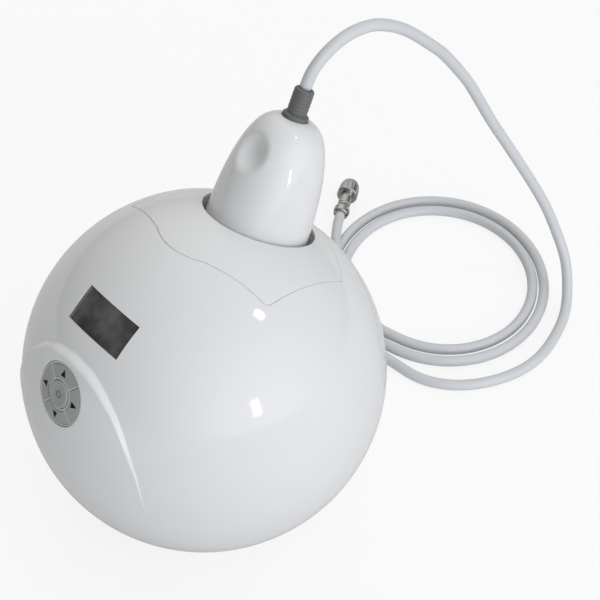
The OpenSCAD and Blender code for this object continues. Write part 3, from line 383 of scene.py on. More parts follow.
def inside_foot(q):
    """Distance of points on the ball from the front's foot line, positive inside it."""
    out = np.empty(len(q))
    a, b = foot_line[:-1], foot_line[1:]
    ab = b - a
    ab2 = (ab ** 2).sum(1)
    for i in range(0, len(q), CHUNK):
        p = q[i:i + CHUNK, None, :]
        t = np.clip(((p - a) * ab).sum(2) / ab2, 0, 1)
        gap = ((p - a - t[..., None] * ab) ** 2).sum(2)
        k = gap.argmin(1)
        rel = q[i:i + CHUNK] - a[k]
        side = ab[k][:, 2] * rel[:, 0] - ab[k][:, 0] * rel[:, 2]
        out[i:i + CHUNK] = np.sqrt(gap[np.arange(len(k)), k]) * np.sign(side)
    return np.where(q[:, 1] < 0, out, FAR_OUTSIDE)


def soft_step(t):
    """0 below 0, 1 above 1, and between them a straight slope with rounded ends."""
    t = np.clip(t, 0, 1)
    slope = 1 / (1 - (SLOPE_FOOT + SLOPE_TOP) / 2)
    out = slope * (t - SLOPE_FOOT / 2)
    out = np.where(t < SLOPE_FOOT, slope * t * t / (2 * SLOPE_FOOT), out)
    return np.where(t > 1 - SLOPE_TOP, 1 - slope * (1 - t) ** 2 / (2 * SLOPE_TOP), out)


def front_rise(f):
    """How far the shifted sphere of the front stands above the ball in directions f of its frame."""
    a = f @ FRONT_SHIFT
    h = a + np.sqrt(BALL_R ** 2 - FRONT_SHIFT @ FRONT_SHIFT + a * a) - BALL_R
    return 0.5 * (h + np.sqrt(h * h + FRONT_FADE ** 2))


def slope_width(h):
    """Width of the slope round the front where it is h high."""
    return np.interp(h, SLOPE_HEIGHTS, SLOPE_WIDTHS)


def ball_level(n):
    """Distance from the ball's centre to the housing's outside in the directions n."""
    c = -CROWN_LOW * (SOCKET_M @ np.array([0, 0, 1.0]))
    a = n @ c
    crown = a + np.sqrt(CROWN_R ** 2 - c @ c + a * a)
    d = BALL_R - crown
    base = BALL_R - 0.5 * (d + np.sqrt(d * d + CROWN_FADE ** 2))
    f = n @ FRONT_M
    h = front_rise(f)
    inside = inside_foot(f * BALL_R)
    return base + h * soft_step(inside / slope_width(h))


def ball_normal(n):
    """The outside's normal in the directions n, from its level a small step to each side."""
    some_direction, step = [0.3, 0.2, 0.93], 0.0006
    e1 = np.cross(n, some_direction)
    e1 /= np.linalg.norm(e1, axis=1)[:, None]
    e2 = np.cross(n, e1)
    level = ball_level(n)
    out = n.copy()
    for e in (e1, e2):
        rise = []
        for sign in (1, -1):
            m = n + sign * step * e
            rise.append(ball_level(m / np.linalg.norm(m, axis=1)[:, None]))
        out -= e * ((rise[0] - rise[1]) / (2 * step) / level)[:, None]
    return out / np.linalg.norm(out, axis=1)[:, None]


def points_of(bm):
    """The points of a mesh in millimetres from the ball's middle."""
    return np.array([v.co for v in bm.verts]) / MM - CENTRE


def node_mesh(node):
    """A copy of a node's mesh with its split points joined."""
    bm = bmesh.new()
    bm.from_mesh(frame["nodes"][node].data)
    bmesh.ops.remove_doubles(bm, verts=bm.verts, dist=JOIN_DISTANCE)
    return bm


def object_of(bm, name):
    """Turns such a copy into an object."""
    me = bpy.data.meshes.new(name)
    bm.to_mesh(me)
    bm.free()
    o = bpy.data.objects.new(name, me)
    bpy.context.scene.collection.objects.link(o)
    return o


def refine_slope(bm):
    """Halves the long edges round the foot of the front until the slope can be laid on them."""
    for _ in range(FINE_ROUNDS):
        bm.verts.ensure_lookup_table()
        at = points_of(bm)
        bm.verts.index_update()
        pairs = np.array([[v.index for v in e.verts] for e in bm.edges])
        mid = (at[pairs[:, 0]] + at[pairs[:, 1]]) / 2
        size = np.linalg.norm(at[pairs[:, 0]] - at[pairs[:, 1]], axis=1)
        far = np.linalg.norm(at, axis=1)
        outside = (far[pairs] > BALL_R - EDGE_DEPTH).all(1)
        k = np.flatnonzero(outside & (size > FINE_EDGE) & (mid[:, 1] < FINE_BACK))
        f = mid[k] @ FRONT_M
        f /= np.linalg.norm(f, axis=1)[:, None]
        d = inside_foot(f * BALL_R)
        h = front_rise(f)
        from_foot = d > -FINE_OUTSIDE - size[k] / 2
        to_top = d < slope_width(h) + FINE_PAST + size[k] / 2
        k = k[from_foot & to_top & (h > FINE_LEAST_RISE)]
        if not len(k):
            break
        bm.edges.ensure_lookup_table()
        bmesh.ops.subdivide_edges(bm, edges=[bm.edges[i] for i in k], cuts=1)
        bmesh.ops.triangulate(bm, faces=[f for f in bm.faces if len(f.verts) > 3])


def own_housing():
    """The main shell with the soft slope round its raised front."""
    bm = node_mesh("main_shell")
    refine_slope(bm)
    at = points_of(bm)
    far = np.linalg.norm(at, axis=1)
    n = at / far[:, None]
    f = n @ FRONT_M
    d = inside_foot(f * BALL_R)
    key = n @ (KEYPAD_M @ np.array([0, 0, 1.0])) > math.cos(KEYPAD_KEEP)
    move = np.flatnonzero((far > BALL_R - POINT_DEPTH) & (d > -MOVE_OUTSIDE) & (at[:, 1] < 0) & ~key)
    level = ball_level(n[move])
    bm.verts.ensure_lookup_table()
    for i, r in zip(move, level):
        bm.verts[i].co = Vector((CENTRE + n[i] * r) * MM)
    o = crisp(object_of(bm, "housing"))
    outside_normals(o.data)
    return o


def outside_normals(me):
    """Gives the corners that lie on the housing's outside the normals of that surface."""
    at = np.empty(len(me.vertices) * 3)
    me.vertices.foreach_get("co", at)
    at = at.reshape(-1, 3) / MM - CENTRE
    far = np.linalg.norm(at, axis=1)
    n = at / far[:, None]
    near = np.flatnonzero(far > BALL_R - NORMAL_DEPTH)
    off = np.full(len(at), np.inf)
    off[near] = np.abs(far[near] - ball_level(n[near]))
    normal = np.zeros_like(at)
    good = np.flatnonzero(off < NORMAL_NEAR)
    normal[good] = ball_normal(n[good])
    faces = len(me.polygons)
    loops = np.empty(len(me.loops), int)
    me.loops.foreach_get("vertex_index", loops)
    corner = np.empty(len(me.loops) * 3)
    me.corner_normals.foreach_get("vector", corner)
    corner = corner.reshape(-1, 3)
    flat = np.empty(faces * 3)
    me.polygons.foreach_get("normal", flat)
    face = np.repeat(np.arange(faces), [p.loop_total for p in me.polygons])
    agree = (normal[loops] * flat.reshape(-1, 3)[face]).sum(1) > NORMAL_AGREES
    whole = np.ones(faces, bool)
    np.logical_and.at(whole, face, agree)
    use = whole[face]
    corner[use] = normal[loops[use]]
    me.normals_split_custom_set(corner.tolist())


housing = own_housing()
paint(housing, "shell_white")
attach(housing, "base")
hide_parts("main_shell")


# Handpiece shell
# Heights are measured along the socket's axis from the ball's middle
BELL_LOW, BELL_LOW_R, BELL_RIM = 66.2, 30.7, 0.8
SOLID_TOP, RELIEF_LEN = 160.0, 18.6
# The bell's line ends above the solid's, so that its round shoulder meets the flange as in the photograph
DOME_START, DOME_R, BELL_TOP, BELL_WALL = 90.0, 30.0, SOLID_TOP + 1.4, 2.5
# Powers of cosine and sine that draw the dome: 1 and 1 would be an ellipse
DOME_ROUND, DOME_LIFT = 0.56, 1.06
RELIEF_SEAT, RELIEF_END, FLANGE_R, CORD_HOLE_R = SOLID_TOP - 2.5, SOLID_TOP + RELIEF_LEN, 7.5, 4.4
THUMB_R, THUMB_DEPTH, THUMB_HEIGHT = 15.0, 5.0, 140.0
THUMB_SURFACE, THUMB_SLOPE = DOME_R - 5.8, math.radians(17)
# Width of the soft edge of the thumb rest, and a depth that no point of it reaches
THUMB_SOFT, THUMB_DEEPEST = 2.6, 12.0
# Distance between the bell's rows of points, and points in a row
BELL_STEP, BELL_SEGMENTS = 0.7, 256


def dome_line(wall, r_end):
    """The bell's profile from its rim to where its radius is r_end, in even steps."""
    a = np.linspace(0, math.pi / 2, 3000)
    r = (DOME_R - wall) * np.cos(a).clip(0) ** DOME_ROUND
    z = DOME_START + (BELL_TOP - wall - DOME_START) * np.sin(a) ** DOME_LIFT
    z_end = np.interp(r_end, r[::-1], z[::-1])
    keep = r > r_end
    r, z = np.append(r[keep], r_end), np.append(z[keep], z_end)
    low = np.linspace(0, 1, 60)[:-1]
    r = np.append(BELL_LOW_R - wall + (DOME_R - BELL_LOW_R) * low, r)
    z = np.append(BELL_LOW + BELL_RIM + (DOME_START - BELL_LOW - BELL_RIM) * low, z)
    run = np.append(0, np.cumsum(np.hypot(np.diff(r), np.diff(z))))
    s = np.linspace(0, run[-1], int(run[-1] / BELL_STEP))
    return np.interp(s, run, r), np.interp(s, run, z)


def thumb_depth(points, normals, grow):
    """How far points of the dome sink, so that a ball of the thumb's size leaves a soft-edged hollow."""
    lean = np.array([math.cos(THUMB_SLOPE), 0, math.sin(THUMB_SLOPE)]) * (THUMB_R - THUMB_DEPTH)
    middle = np.array([THUMB_SURFACE, 0, THUMB_HEIGHT]) + lean
    middle = np.array([0, -middle[0], middle[2]])
    low, high = np.zeros(len(points)), np.full(len(points), THUMB_DEEPEST)
    for _ in range(30):
        depth = (low + high) / 2
        ball = THUMB_R + grow - np.linalg.norm(points - normals * depth[:, None] - middle, axis=1)
        mix = np.clip(THUMB_SOFT - np.abs(-depth - ball), 0, None) / THUMB_SOFT
        out = np.maximum(-depth, ball) + mix * mix * THUMB_SOFT / 4 > 0
        low, high = np.where(out, depth, low), np.where(out, high, depth)
    return (low + high) / 2


def circle_rows(profile):
    """Rows of points round the axis, one for each (r, z)."""
    a = 2 * math.pi * np.arange(BELL_SEGMENTS) / BELL_SEGMENTS
    level = np.ones(BELL_SEGMENTS)
    return np.array([np.stack([r * np.cos(a), r * np.sin(a), z * level], 1) for r, z in profile])


def bell_skin(wall, r_end):
    """Rows of points of the bell's outside, or of its inside for a wall above 0."""
    r, z = dome_line(wall, r_end)
    tr, tz = np.gradient(r), np.gradient(z)
    k = np.hypot(tr, tz)
    points = circle_rows(zip(r, z)).reshape(-1, 3)
    normals = circle_rows(zip(tz / k, -tr / k)).reshape(-1, 3)
    depth = thumb_depth(points, normals, wall)
    depth[depth < 0.001] = 0
    return (points - normals * depth[:, None]).reshape(len(r), BELL_SEGMENTS, 3)


def own_bell():
    """Outer skin, the seat of the strain relief, inner skin and the stepped rim, in one loop of rows."""
    outer_skin = bell_skin(0, FLANGE_R + 0.55)
    inner_skin = bell_skin(BELL_WALL, FLANGE_R + 1)
    top = float(outer_skin[-1, 0, 2])
    under = float(inner_skin[-1, 0, 2])
    seat_r, step_r = FLANGE_R + 0.15, BELL_LOW_R - 0.8
    lip = circle_rows([
        (FLANGE_R + 0.3, top - 0.08), (seat_r, top - 0.4), (seat_r, RELIEF_SEAT),
        (CORD_HOLE_R, RELIEF_SEAT), (CORD_HOLE_R, under),
    ])
    rim = circle_rows([
        (BELL_LOW_R - BELL_WALL, BELL_LOW), (BELL_LOW_R - 1, BELL_LOW), (step_r, BELL_LOW + 0.2),
        (step_r, BELL_LOW + BELL_RIM - 0.05), (BELL_LOW_R - 0.25, BELL_LOW + BELL_RIM - 0.02),
    ])
    rows = np.vstack([outer_skin, lip, inner_skin[::-1], rim])
    faces = grid_faces(len(rows), BELL_SEGMENTS)
    last = (len(rows) - 1) * BELL_SEGMENTS
    for j in range(BELL_SEGMENTS):
        k = (j + 1) % BELL_SEGMENTS
        faces.append((last + j, last + k, k, j))
    return crisp(mesh_object("bell", place(rows.reshape(-1, 3), SOCKET_M), faces), 40)


bell = own_bell()
paint(bell, "bell_white")
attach(bell, "handpiece")
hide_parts("handpiece_shell")

# Strain relief
RELIEF_R, FLANGE_TOP, FLANGE_EDGE = 5.9, SOLID_TOP + 3.6, 1.1
# Fine rings: their pitch, their height, and the stretch over which they fade in and out
RING_PITCH, RING_HEIGHT, RING_FADE = 2.3, 0.09, 0.8
RING_LOW, RING_HIGH = FLANGE_TOP + 1.4, RELIEF_END - 3.0
END_EDGE, END_SINK = 1.6, 0.8
# A ring this narrow stands for the axis, where a flat end is closed
AXIS_R = 0.2


def relief_profile():
    """Seat, flange with its rounded edge, a hollow up to the ringed sleeve, and the rounded end."""
    sleeve = [
        (AXIS_R, RELIEF_SEAT + 0.1), (FLANGE_R - 0.05, RELIEF_SEAT + 0.1),
        (FLANGE_R, FLANGE_TOP - FLANGE_EDGE),
    ]
    flange_in, flange_mid = FLANGE_R - FLANGE_EDGE, FLANGE_TOP - FLANGE_EDGE
    for k in range(7):
        a = math.radians(15 * k)
        sleeve.append((flange_in + FLANGE_EDGE * math.cos(a), flange_mid + FLANGE_EDGE * math.sin(a)))
    for k in range(1, 7):
        a = math.radians(15 * k)
        r = flange_in - (FLANGE_R - 0.5 - RELIEF_R) * math.sin(a)
        sleeve.append((r, FLANGE_TOP + 0.7 * (1 - math.cos(a))))
    for z in np.arange(FLANGE_TOP + 0.9, RELIEF_END - 1.5, 0.12):
        fade = min(1, max(0, min(z - RING_LOW, RING_HIGH - z) / RING_FADE))
        wave = RING_HEIGHT * fade * math.cos(2 * math.pi * (z - RING_LOW) / RING_PITCH)
        sleeve.append((RELIEF_R - 0.2 + wave, z))
    for k in range(1, 10):
        a = math.radians(10 * k)
        sleeve.append((
            RELIEF_R - 1.85 + END_EDGE * math.cos(a), RELIEF_END - END_EDGE + END_EDGE * math.sin(a),
        ))
    return sleeve + [
        (CORD_D / 2 + 0.25, RELIEF_END - 0.2), (CORD_D / 2 + 0.1, RELIEF_END - END_SINK),
        (AXIS_R, RELIEF_END - END_SINK),
    ]


relief = crisp(revolve("relief", relief_profile(), SOCKET_M), 50)
paint(relief, "relief_grey")
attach(relief, "handpiece")
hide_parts("strain_relief")


# Keypad
# The keys are shown with half of the solids' gap
SHOWN_GAP = KEY_GAP / 2
KEY_IN = POWER_R + KEY_GAP + POWER_RING + SHOWN_GAP
KEY_OUT = KEYPAD_R - KEYPAD_RING - SHOWN_GAP
KEY_SIDE = RIB_W / 2 + SHOWN_GAP
key_centre = KEYPAD_M.T @ (FRONT_M @ FRONT_SHIFT)
KEYPAD_FACE = KEYPAD_BALL_R + key_centre[2]
KEY_FLOOR = KEYPAD_FACE - 5.1
KEY_EDGE = 0.7
# Points across and along an arrow key between its rounded edges, and points in each edge
KEY_ACROSS, KEY_ALONG, KEY_EDGE_POINTS, KEY_EDGE_SHARE = 14, 24, 8, 0.2
# Arrow mark: distance of its tip and of its base from the keypad's middle, and half its width
ARROW_TIP, ARROW_BASE, ARROW_HALF = 15.3, 11.0, 2.0
# Marks stand this much above the key, on a body this thick
MARK_HEIGHT, MARK_T = 0.05, 0.2


def key_top(x, y):
    """Height of the arrow keys' tops in the keypad's frame."""
    c = key_centre
    return c[2] + np.sqrt((KEYPAD_BALL_R + KEY_PROUD) ** 2 - (x - c[0]) ** 2 - (y - c[1]) ** 2)


def eased(n):
    """Places from 0 to 1 that lie closer together near both ends."""
    near = 0.5 * (1 - np.cos(np.linspace(0, math.pi / 2, KEY_EDGE_POINTS))) * KEY_EDGE_SHARE
    return np.concatenate([near, np.linspace(near[-1], 1 - near[-1], n)[1:-1], 1 - near[::-1]])


def arrow_key(name, turn_by):
    """A key cap in a quarter of the ring: its top follows the raised front and rolls over at the edges."""
    us, vs = eased(KEY_ACROSS), eased(KEY_ALONG)
    r = KEY_IN + (KEY_OUT - KEY_IN) * us
    verts = []
    for ri in r:
        half = math.pi / 4 - math.asin(KEY_SIDE / ri)
        for v in vs:
            a = math.pi / 2 + half * (1 - 2 * v)
            x, y = ri * math.cos(a), ri * math.sin(a)
            side = ri * math.sin(half * (1 - abs(1 - 2 * v)))
            gap = min(ri - KEY_IN, KEY_OUT - ri, side, KEY_EDGE)
            drop = KEY_EDGE - math.sqrt(max(KEY_EDGE ** 2 - (KEY_EDGE - gap) ** 2, 0))
            verts.append((x, y, drop))
    m, n = len(us), len(vs)
    verts = np.array(verts)
    c, s = math.cos(turn_by), math.sin(turn_by)
    x, y = c * verts[:, 0] - s * verts[:, 1], s * verts[:, 0] + c * verts[:, 1]
    top = np.stack([x, y, key_top(x, y) - verts[:, 2]], 1)
    faces = [f[::-1] for f in grid_faces(m, n, closed=False)]
    loop = list(range(n)) + [i * n + n - 1 for i in range(1, m)]
    loop += [(m - 1) * n + j for j in range(n - 2, -1, -1)] + [i * n for i in range(m - 2, 0, -1)]
    low = top[loop].copy()
    low[:, 2] = KEY_FLOOR + KEY_FLANGE_T
    base = len(top)
    k = len(loop)
    for i in range(k):
        j = (i + 1) % k
        faces.append((loop[i], loop[j], base + j, base + i))
    faces.append(tuple(range(base + k - 1, base - 1, -1)))
    o = crisp(mesh_object(name + "_cap", place(np.vstack([top, low]), KEYPAD_M), faces), 60)
    bm = bmesh.new()
    bm.from_mesh(o.data)
    bmesh.ops.recalc_face_normals(bm, faces=bm.faces)
    bm.to_mesh(o.data)
    bm.free()
    paint(o, "key_grey")
    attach(o, name)
    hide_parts(name)


def mark(name, shapes, body, color, level=None):
    """Printed marks: outlines in the keypad's frame, on an arrow key's top or at a level of their own."""
    verts, faces = [], []
    for shape in shapes:
        shape = np.array(shape, float)
        at = len(verts)
        k = len(shape)
        top = key_top(shape[:, 0], shape[:, 1]) + MARK_HEIGHT if level is None else np.full(k, level)
        verts += [(x, y, z) for (x, y), z in zip(shape, top)]
        verts += [(x, y, z - MARK_T) for (x, y), z in zip(shape, top)]
        faces.append(tuple(range(at, at + k)))
        faces += [(at + i, at + k + i, at + k + (i + 1) % k, at + (i + 1) % k) for i in range(k)]
        faces.append(tuple(range(at + 2 * k - 1, at + k - 1, -1)))
    o = mesh_object(name, place(verts, KEYPAD_M), faces, smooth=False)
    paint(o, color)
    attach(o, body)


for quarter, name in enumerate(("key_up", "key_left", "key_down", "key_right")):
    a = quarter * math.pi / 2
    arrow_key(name, a)
    c, s = math.cos(a), math.sin(a)
    corners = ((0, ARROW_TIP), (-ARROW_HALF, ARROW_BASE), (ARROW_HALF, ARROW_BASE))
    arrow = [(c * x - s * y, s * x + c * y) for x, y in corners]
    mark(name + "_mark", [arrow], name, "mark_black")

# Power key: a shallow dish with a raised rim. Heights are above the keypad's face.
DISH_R, DISH_H, RIM_IN_R, RIM_RISE = 4.2, 0.58, 6.4, 0.62
RIM_MIDDLE, RIM_BASE, RIM_EDGE = 6.9, 0.35, 0.85
POWER_FLANGE_R = POWER_R + 0.8
POINT_R = 0.02


def power_profile():
    """The power key's outline from the middle of its top to the middle of its foot."""
    dish = [(POINT_R, 0.45), (2.5, 0.47), (DISH_R, DISH_H)]
    for k in range(1, 13):
        u = k / 12
        dish.append((DISH_R + (RIM_IN_R - DISH_R) * u, DISH_H + RIM_RISE * (3 * u * u - 2 * u ** 3)))
    for k in range(1, 10):
        a = math.radians(10 * k)
        dish.append((RIM_MIDDLE + RIM_EDGE * math.sin(a), RIM_BASE + RIM_EDGE * math.cos(a)))
    dish.append((POWER_R - POINT_R, -1))
    foot = [
        (POWER_R, KEY_FLOOR + KEY_FLANGE_T), (POWER_FLANGE_R, KEY_FLOOR + KEY_FLANGE_T),
        (POWER_FLANGE_R, KEY_FLOOR), (POINT_R, KEY_FLOOR),
    ]
    return [(r, KEYPAD_FACE + z) for r, z in dish] + foot


power_line = power_profile()[::-1]
power = crisp(revolve("power_cap", power_line, KEYPAD_M), 60)
paint(power, "power_grey")
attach(power, "power_key")
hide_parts("power_key")

# Power symbol: an open ring, and a bar in its opening
SYMBOL_OUT_R, SYMBOL_IN_R, SYMBOL_OPEN, SYMBOL_PARTS = 2.1, 1.5, 38, 20
BAR_HALF, BAR_LOW, BAR_HIGH = 0.3, 0.5, 2.5
symbol = []
for k in range(SYMBOL_PARTS):
    a0, a1 = [
        math.radians(90 + SYMBOL_OPEN + (360 - 2 * SYMBOL_OPEN) * (k + d) / SYMBOL_PARTS) for d in (0, 1)
    ]
    corners = ((SYMBOL_OUT_R, a0), (SYMBOL_OUT_R, a1), (SYMBOL_IN_R, a1), (SYMBOL_IN_R, a0))
    symbol.append([(r * math.cos(a), r * math.sin(a)) for r, a in corners])
symbol.append([(-BAR_HALF, BAR_LOW), (BAR_HALF, BAR_LOW), (BAR_HALF, BAR_HIGH), (-BAR_HALF, BAR_HIGH)])
mark("power_mark", symbol, "power_key", "mark_grey", level=KEYPAD_FACE + 0.52)


# Rounding of the bezel's edges, the height above which they are rounded, and the least angle of an edge
BEZEL_EDGE, BEZEL_LOW, BEZEL_ANGLE = 0.28, 104.0, math.radians(40)


def softened(node, width, low, m):
    """A copy of a node whose edges above a height of its frame are rounded."""
    bm = node_mesh(node)
    at = points_of(bm) @ m
    bm.verts.index_update()
    edges = [
        e for e in bm.edges
        if all(at[v.index][2] > low for v in e.verts)
        and len(e.link_faces) == 2 and e.calc_face_angle(0) > BEZEL_ANGLE
    ]
    bmesh.ops.bevel(bm, geom=edges, offset=width * MM, offset_type="OFFSET", segments=3,
                    profile=0.5, affect="EDGES", clamp_overlap=True)
    return crisp(object_of(bm, node + "_soft"), 35)


bezel = softened("keypad_bezel", BEZEL_EDGE, BEZEL_LOW, KEYPAD_M)
paint(bezel, "keypad_light")
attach(bezel, "base")
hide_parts("keypad_bezel")

# Display
# A painted reflection: a pale strip along one short edge of the window, just above its face, stands for the
# light that the edge of the window's recess reflects
STRIP_INSET, STRIP_W, STRIP_END, STRIP_PROUD, STRIP_POINTS = 0.4, 1.5, 0.5, 0.03, 13
strip_x = -WINDOW_W / 2 + STRIP_INSET
strip_y = WINDOW_H / 2 - STRIP_END
strip = np.array([
    (x, y) for x in (strip_x, strip_x + STRIP_W) for y in np.linspace(-strip_y, strip_y, STRIP_POINTS)
])
strip_level = np.sqrt((BALL_R + STRIP_PROUD - WINDOW_SINK) ** 2 - (strip ** 2).sum(1))
painted_reflection_strip = mesh_object("display_reflection_strip", place(np.column_stack([strip, strip_level]), DISPLAY_M),
                         grid_faces(2, STRIP_POINTS, closed=False))
paint(painted_reflection_strip, "display_edge")
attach(painted_reflection_strip, "base")


# Cord
AXIS = np.array([0, math.sin(SOCKET_TILT), math.cos(SOCKET_TILT)])
LAY = CORD_D / 2 + 0.05
EXIT = CENTRE + RELIEF_END * AXIS
RUN_START = np.array([38, 257, LAY])
RUN_DIR = np.array([0.42, -0.908, 0])
PLUG_DIR = np.array([-0.622, 0.783, 0])
RING_R = 7.4
PLUG_END = np.array([-151, 229, RING_R + 0.2])
# The cord leaves the strain relief straight for this length
STRAIGHT = 9
COIL_TURNS, COIL_POINTS = 2, 48
COIL_X, COIL_Y, COIL_TURN, COIL_START = -57, 236, math.radians(51.2), math.radians(-125)
COIL_WIDE, COIL_LONG, COIL_STEP_WIDE, COIL_STEP_LONG, COIL_SHIFT = 76.6, 95.5, 7.8, 11.5, 3.5


def coil_point(u):
    """A point of the coil after u turns, which run clockwise and draw in steadily."""
    a = COIL_START - 2 * math.pi * u
    x = COIL_SHIFT + (COIL_WIDE - COIL_STEP_WIDE * u) * math.cos(a)
    y = (COIL_LONG - COIL_STEP_LONG * u) * math.sin(a)
    c, s = math.cos(COIL_TURN), math.sin(COIL_TURN)
    return np.array([COIL_X + x * c - y * s, COIL_Y + x * s + y * c, LAY])


coil_in = unit(coil_point(0.01) - coil_point(0))
coil_out = unit(coil_point(COIL_TURNS) - coil_point(COIL_TURNS - 0.01))
coil_entry = coil_point(0) - CORD_D * coil_in
coil_exit = coil_point(COIL_TURNS) + CORD_D * coil_out
route = [
    EXIT - STRAIGHT * AXIS, EXIT, EXIT + STRAIGHT * AXIS,
    [1, 89, 274], [1, 104, 279], [1, 121, 278], [0, 136, 271], [-3, 149, 262],
    [-6, 162, 251], [-9, 174, 240], [-13, 186, 229], [-16, 197, 217], [-19, 208, 204],
    [-20, 218, 191], [-21, 231, 170], [-22, 244, 149], [-22, 257, 129], [-20, 269, 109],
    [-17, 281, 88], [-11, 290, 68], [-4, 295, 49], [6, 296, 31], [16, 290, 16], [27, 278, 7],
    RUN_START - CORD_D * RUN_DIR, RUN_START, RUN_START + CORD_D * RUN_DIR,
    [46, 236, LAY], [48, 219, LAY], [46, 203, LAY], [41, 188, LAY],
    [33, 175, LAY], [22, 165, LAY], [9, 159, LAY],
    coil_entry - CORD_D * coil_in, coil_entry,
]
route += [coil_point(i / COIL_POINTS) for i in range(COIL_POINTS * COIL_TURNS + 1)]
route += [
    coil_exit, coil_exit + CORD_D * coil_out,
    [-58, 173, 7], [-72, 177, 10.6], [-86, 181, 11.4], [-100, 187, 11.4],
    [-113, 195, 11.4], [-126, 204, 11], [-137, 214, 9.8],
    PLUG_END - CORD_D * PLUG_DIR, PLUG_END,
]
route = np.array([np.asarray(p, float) for p in route])


def sweep(name, path, radius, sides):
    """A tube whose rings are carried along the path without twisting."""
    n = len(path)
    tangent = np.gradient(path, axis=0)
    tangent /= np.linalg.norm(tangent, axis=1)[:, None]
    x = unit(np.cross(tangent[0], [1.0, 0.3, 0.2]))
    verts = []
    for i in range(n):
        x = unit(x - tangent[i] * (x @ tangent[i]))
        y = np.cross(tangent[i], x)
        for k in range(sides):
            a = 2 * math.pi * k / sides
            verts.append(path[i] + radius * (math.cos(a) * x + math.sin(a) * y))
    faces = grid_faces(n, sides)
    faces.append(tuple(range(sides))[::-1])
    faces.append(tuple(range((n - 1) * sides, n * sides)))
    return mesh_object(name, verts, faces)


def smoothed(points, spread):
    """The same line with its small waves taken out. Its ends stay where they are."""
    half = 4 * spread
    w = np.exp(-0.5 * (np.arange(-half, half + 1) / spread) ** 2)
    w /= w.sum()
    first = 2 * points[0] - points[1:half + 1][::-1]
    last = 2 * points[-1] - points[-half - 1:-1][::-1]
    padded = np.vstack([first, points, last])
    out = np.stack([np.convolve(padded[:, k], w, mode="valid") for k in range(3)], axis=1)
    out[0], out[-1] = points[0], points[-1]
    return out


# Distance between the path's points, the spread of its smoothing in points, and its gap to the floor
PATH_STEP, PATH_SPREAD, FLOOR_GAP, CORD_SIDES = 2.5, 2, 0.02, 20
path = smoothed(catmull(route, PATH_STEP), PATH_SPREAD)
path[:, 2] = np.maximum(path[:, 2], CORD_D / 2 + FLOOR_GAP)
path = path[np.argmin(np.linalg.norm(path - EXIT, axis=1)):]
path = np.vstack([EXIT, path[1:]])
cord = sweep("handpiece_cord", path, CORD_D / 2, CORD_SIDES)
paint(cord, "cord_white")
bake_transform(cord)
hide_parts("cord_lead", "cord_run", "cord_coil", "cord_tail")

# Stage and light
# Half the floor's side in millimetres, and the pale tone of the background
FLOOR_HALF = 6000
PALE = (0.947, 0.947, 0.947, 1)
# What the camera sees of the floor: its own glow, and a diffuse share that holds the shadow
FLOOR_GLOW, FLOOR_SHADOW = 0.86, 0.18
# What the floor gives to the object: a grey that reflects, and a faint glow
FLOOR_GREY, FLOOR_FILL = 0.7, 0.09
# Broad soft lights: direction and strength. Each falls off with a power of the cosine.
LOBES = [
    ((1.0, 0.0, 0.0), 1.22), ((0.0, 0.0, 1.0), 0.3), ((-0.597, 0.398, 0.697), 1.08),
    ((0.865, 0.204, 0.458), 0.16), ((0.958, -0.202, 0.202), 0.95), ((0.3, -0.5, 0.81), 0.14),
]
LOBE_POWER = 3.0
# The light is a little cooler from this direction and a little warmer from the other side
COOL_FROM, COOL, WARM = (0.93, -0.1, 0.35), (0.96, 0.985, 1.05), (1.045, 1.03, 0.955)
LAMP_AIM, LAMP_DISTANCE = Vector((0, 0, 0.1)), 2.0


def math_node(nt, operation, a, b):
    n = nt.nodes.new("ShaderNodeMath")
    n.operation = operation
    for socket, v in zip(n.inputs, (a, b)):
        if isinstance(v, (int, float)):
            socket.default_value = v
        else:
            nt.links.new(v, socket)
    return n.outputs[0]


def shader(nt, kind, color, strength=None):
    """A plain emission, diffuse or background shader."""
    n = nt.nodes.new(kind)
    n.inputs["Color"].default_value = color
    if strength is not None:
        n.inputs["Strength"].default_value = strength
    return n.outputs[0]


def add_shaders(nt, a, b):
    both = nt.nodes.new("ShaderNodeAddShader")
    nt.links.new(a, both.inputs[0])
    nt.links.new(b, both.inputs[1])
    return both.outputs[0]


def seen_apart(nt, others, camera, out):
    """The background as the camera sees it, and as it lights the object."""
    path_kind = nt.nodes.new("ShaderNodeLightPath")
    pick = nt.nodes.new("ShaderNodeMixShader")
    nt.links.new(path_kind.outputs["Is Camera Ray"], pick.inputs["Fac"])
    nt.links.new(others, pick.inputs[1])
    nt.links.new(camera, pick.inputs[2])
    nt.links.new(pick.outputs[0], out.inputs["Surface"])


def floor_material():
    mat = bpy.data.materials.new("pale_floor")
    mat.use_nodes = True
    nt = mat.node_tree
    nt.nodes.clear()
    out = nt.nodes.new("ShaderNodeOutputMaterial")
    grey = shader(nt, "ShaderNodeBsdfDiffuse", (FLOOR_GREY, FLOOR_GREY, FLOOR_GREY, 1))
    fill = shader(nt, "ShaderNodeEmission", (1, 1, 1, 1), FLOOR_FILL)
    glow = shader(nt, "ShaderNodeEmission", PALE, FLOOR_GLOW)
    shadow = shader(nt, "ShaderNodeBsdfDiffuse", (FLOOR_SHADOW, FLOOR_SHADOW, FLOOR_SHADOW, 1))
    seen_apart(nt, add_shaders(nt, grey, fill), add_shaders(nt, glow, shadow), out)
    return mat


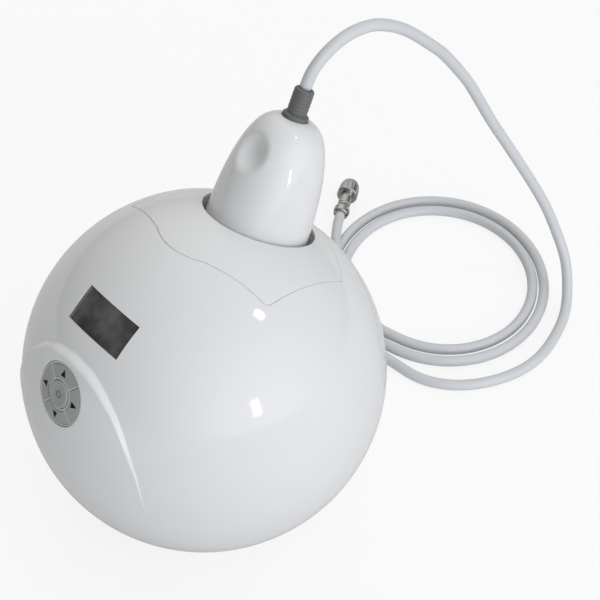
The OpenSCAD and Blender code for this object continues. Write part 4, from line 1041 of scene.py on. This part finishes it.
def facing(nt, coord, direction):
    """Cosine between the direction that is looked in and the given one."""
    dot = nt.nodes.new("ShaderNodeVectorMath")
    dot.operation = "DOT_PRODUCT"
    dot.inputs[1].default_value = direction
    nt.links.new(coord.outputs["Generated"], dot.inputs[0])
    return dot.outputs["Value"]


def studio_world():
    """Soft light from a few broad lobes, behind a pale background."""
    world = bpy.data.worlds.new("studio")
    world.use_nodes = True
    nt = world.node_tree
    nt.nodes.clear()
    out = nt.nodes.new("ShaderNodeOutputWorld")
    coord = nt.nodes.new("ShaderNodeTexCoord")
    level = 0.0
    for direction, strength in LOBES:
        front = math_node(nt, "MAXIMUM", facing(nt, coord, direction), 0.0)
        lobe = math_node(nt, "POWER", front, LOBE_POWER)
        level = math_node(nt, "ADD", math_node(nt, "MULTIPLY", lobe, strength), level)
    tint = ramp(nt, facing(nt, coord, COOL_FROM), 0.0, 1.0, -1.0, 1.0)
    light = nt.nodes.new("ShaderNodeBackground")
    nt.links.new(mix_color(nt, tint, WARM, COOL), light.inputs["Color"])
    nt.links.new(level, light.inputs["Strength"])
    seen_apart(nt, light.outputs[0], shader(nt, "ShaderNodeBackground", PALE), out)
    return world


def lamp(name, direction, size, power):
    """A small bright window that the gloss reflects."""
    d = bpy.data.lights.new(name, "AREA")
    d.shape = "RECTANGLE"
    d.size, d.size_y = size
    d.energy = power
    o = bpy.data.objects.new(name, d)
    bpy.context.scene.collection.objects.link(o)
    v = Vector(direction).normalized()
    o.location = LAMP_AIM + v * LAMP_DISTANCE
    o.rotation_mode = "QUATERNION"
    o.rotation_quaternion = (-v).to_track_quat("-Z", "Y")


floor_corners = [(x * FLOOR_HALF, y * FLOOR_HALF, 0) for x, y in ((-1, -1), (1, -1), (1, 1), (-1, 1))]
floor = mesh_object("floor", floor_corners, [(0, 1, 2, 3)], smooth=False)
floor.data.materials.append(floor_material())
bpy.context.scene.world = studio_world()
lamp("high_window", (0.456, 0.332, 0.826), (0.17, 0.2), 1.7)
lamp("low_window", (0.969, -0.094, 0.229), (0.16, 0.33), 2.2)
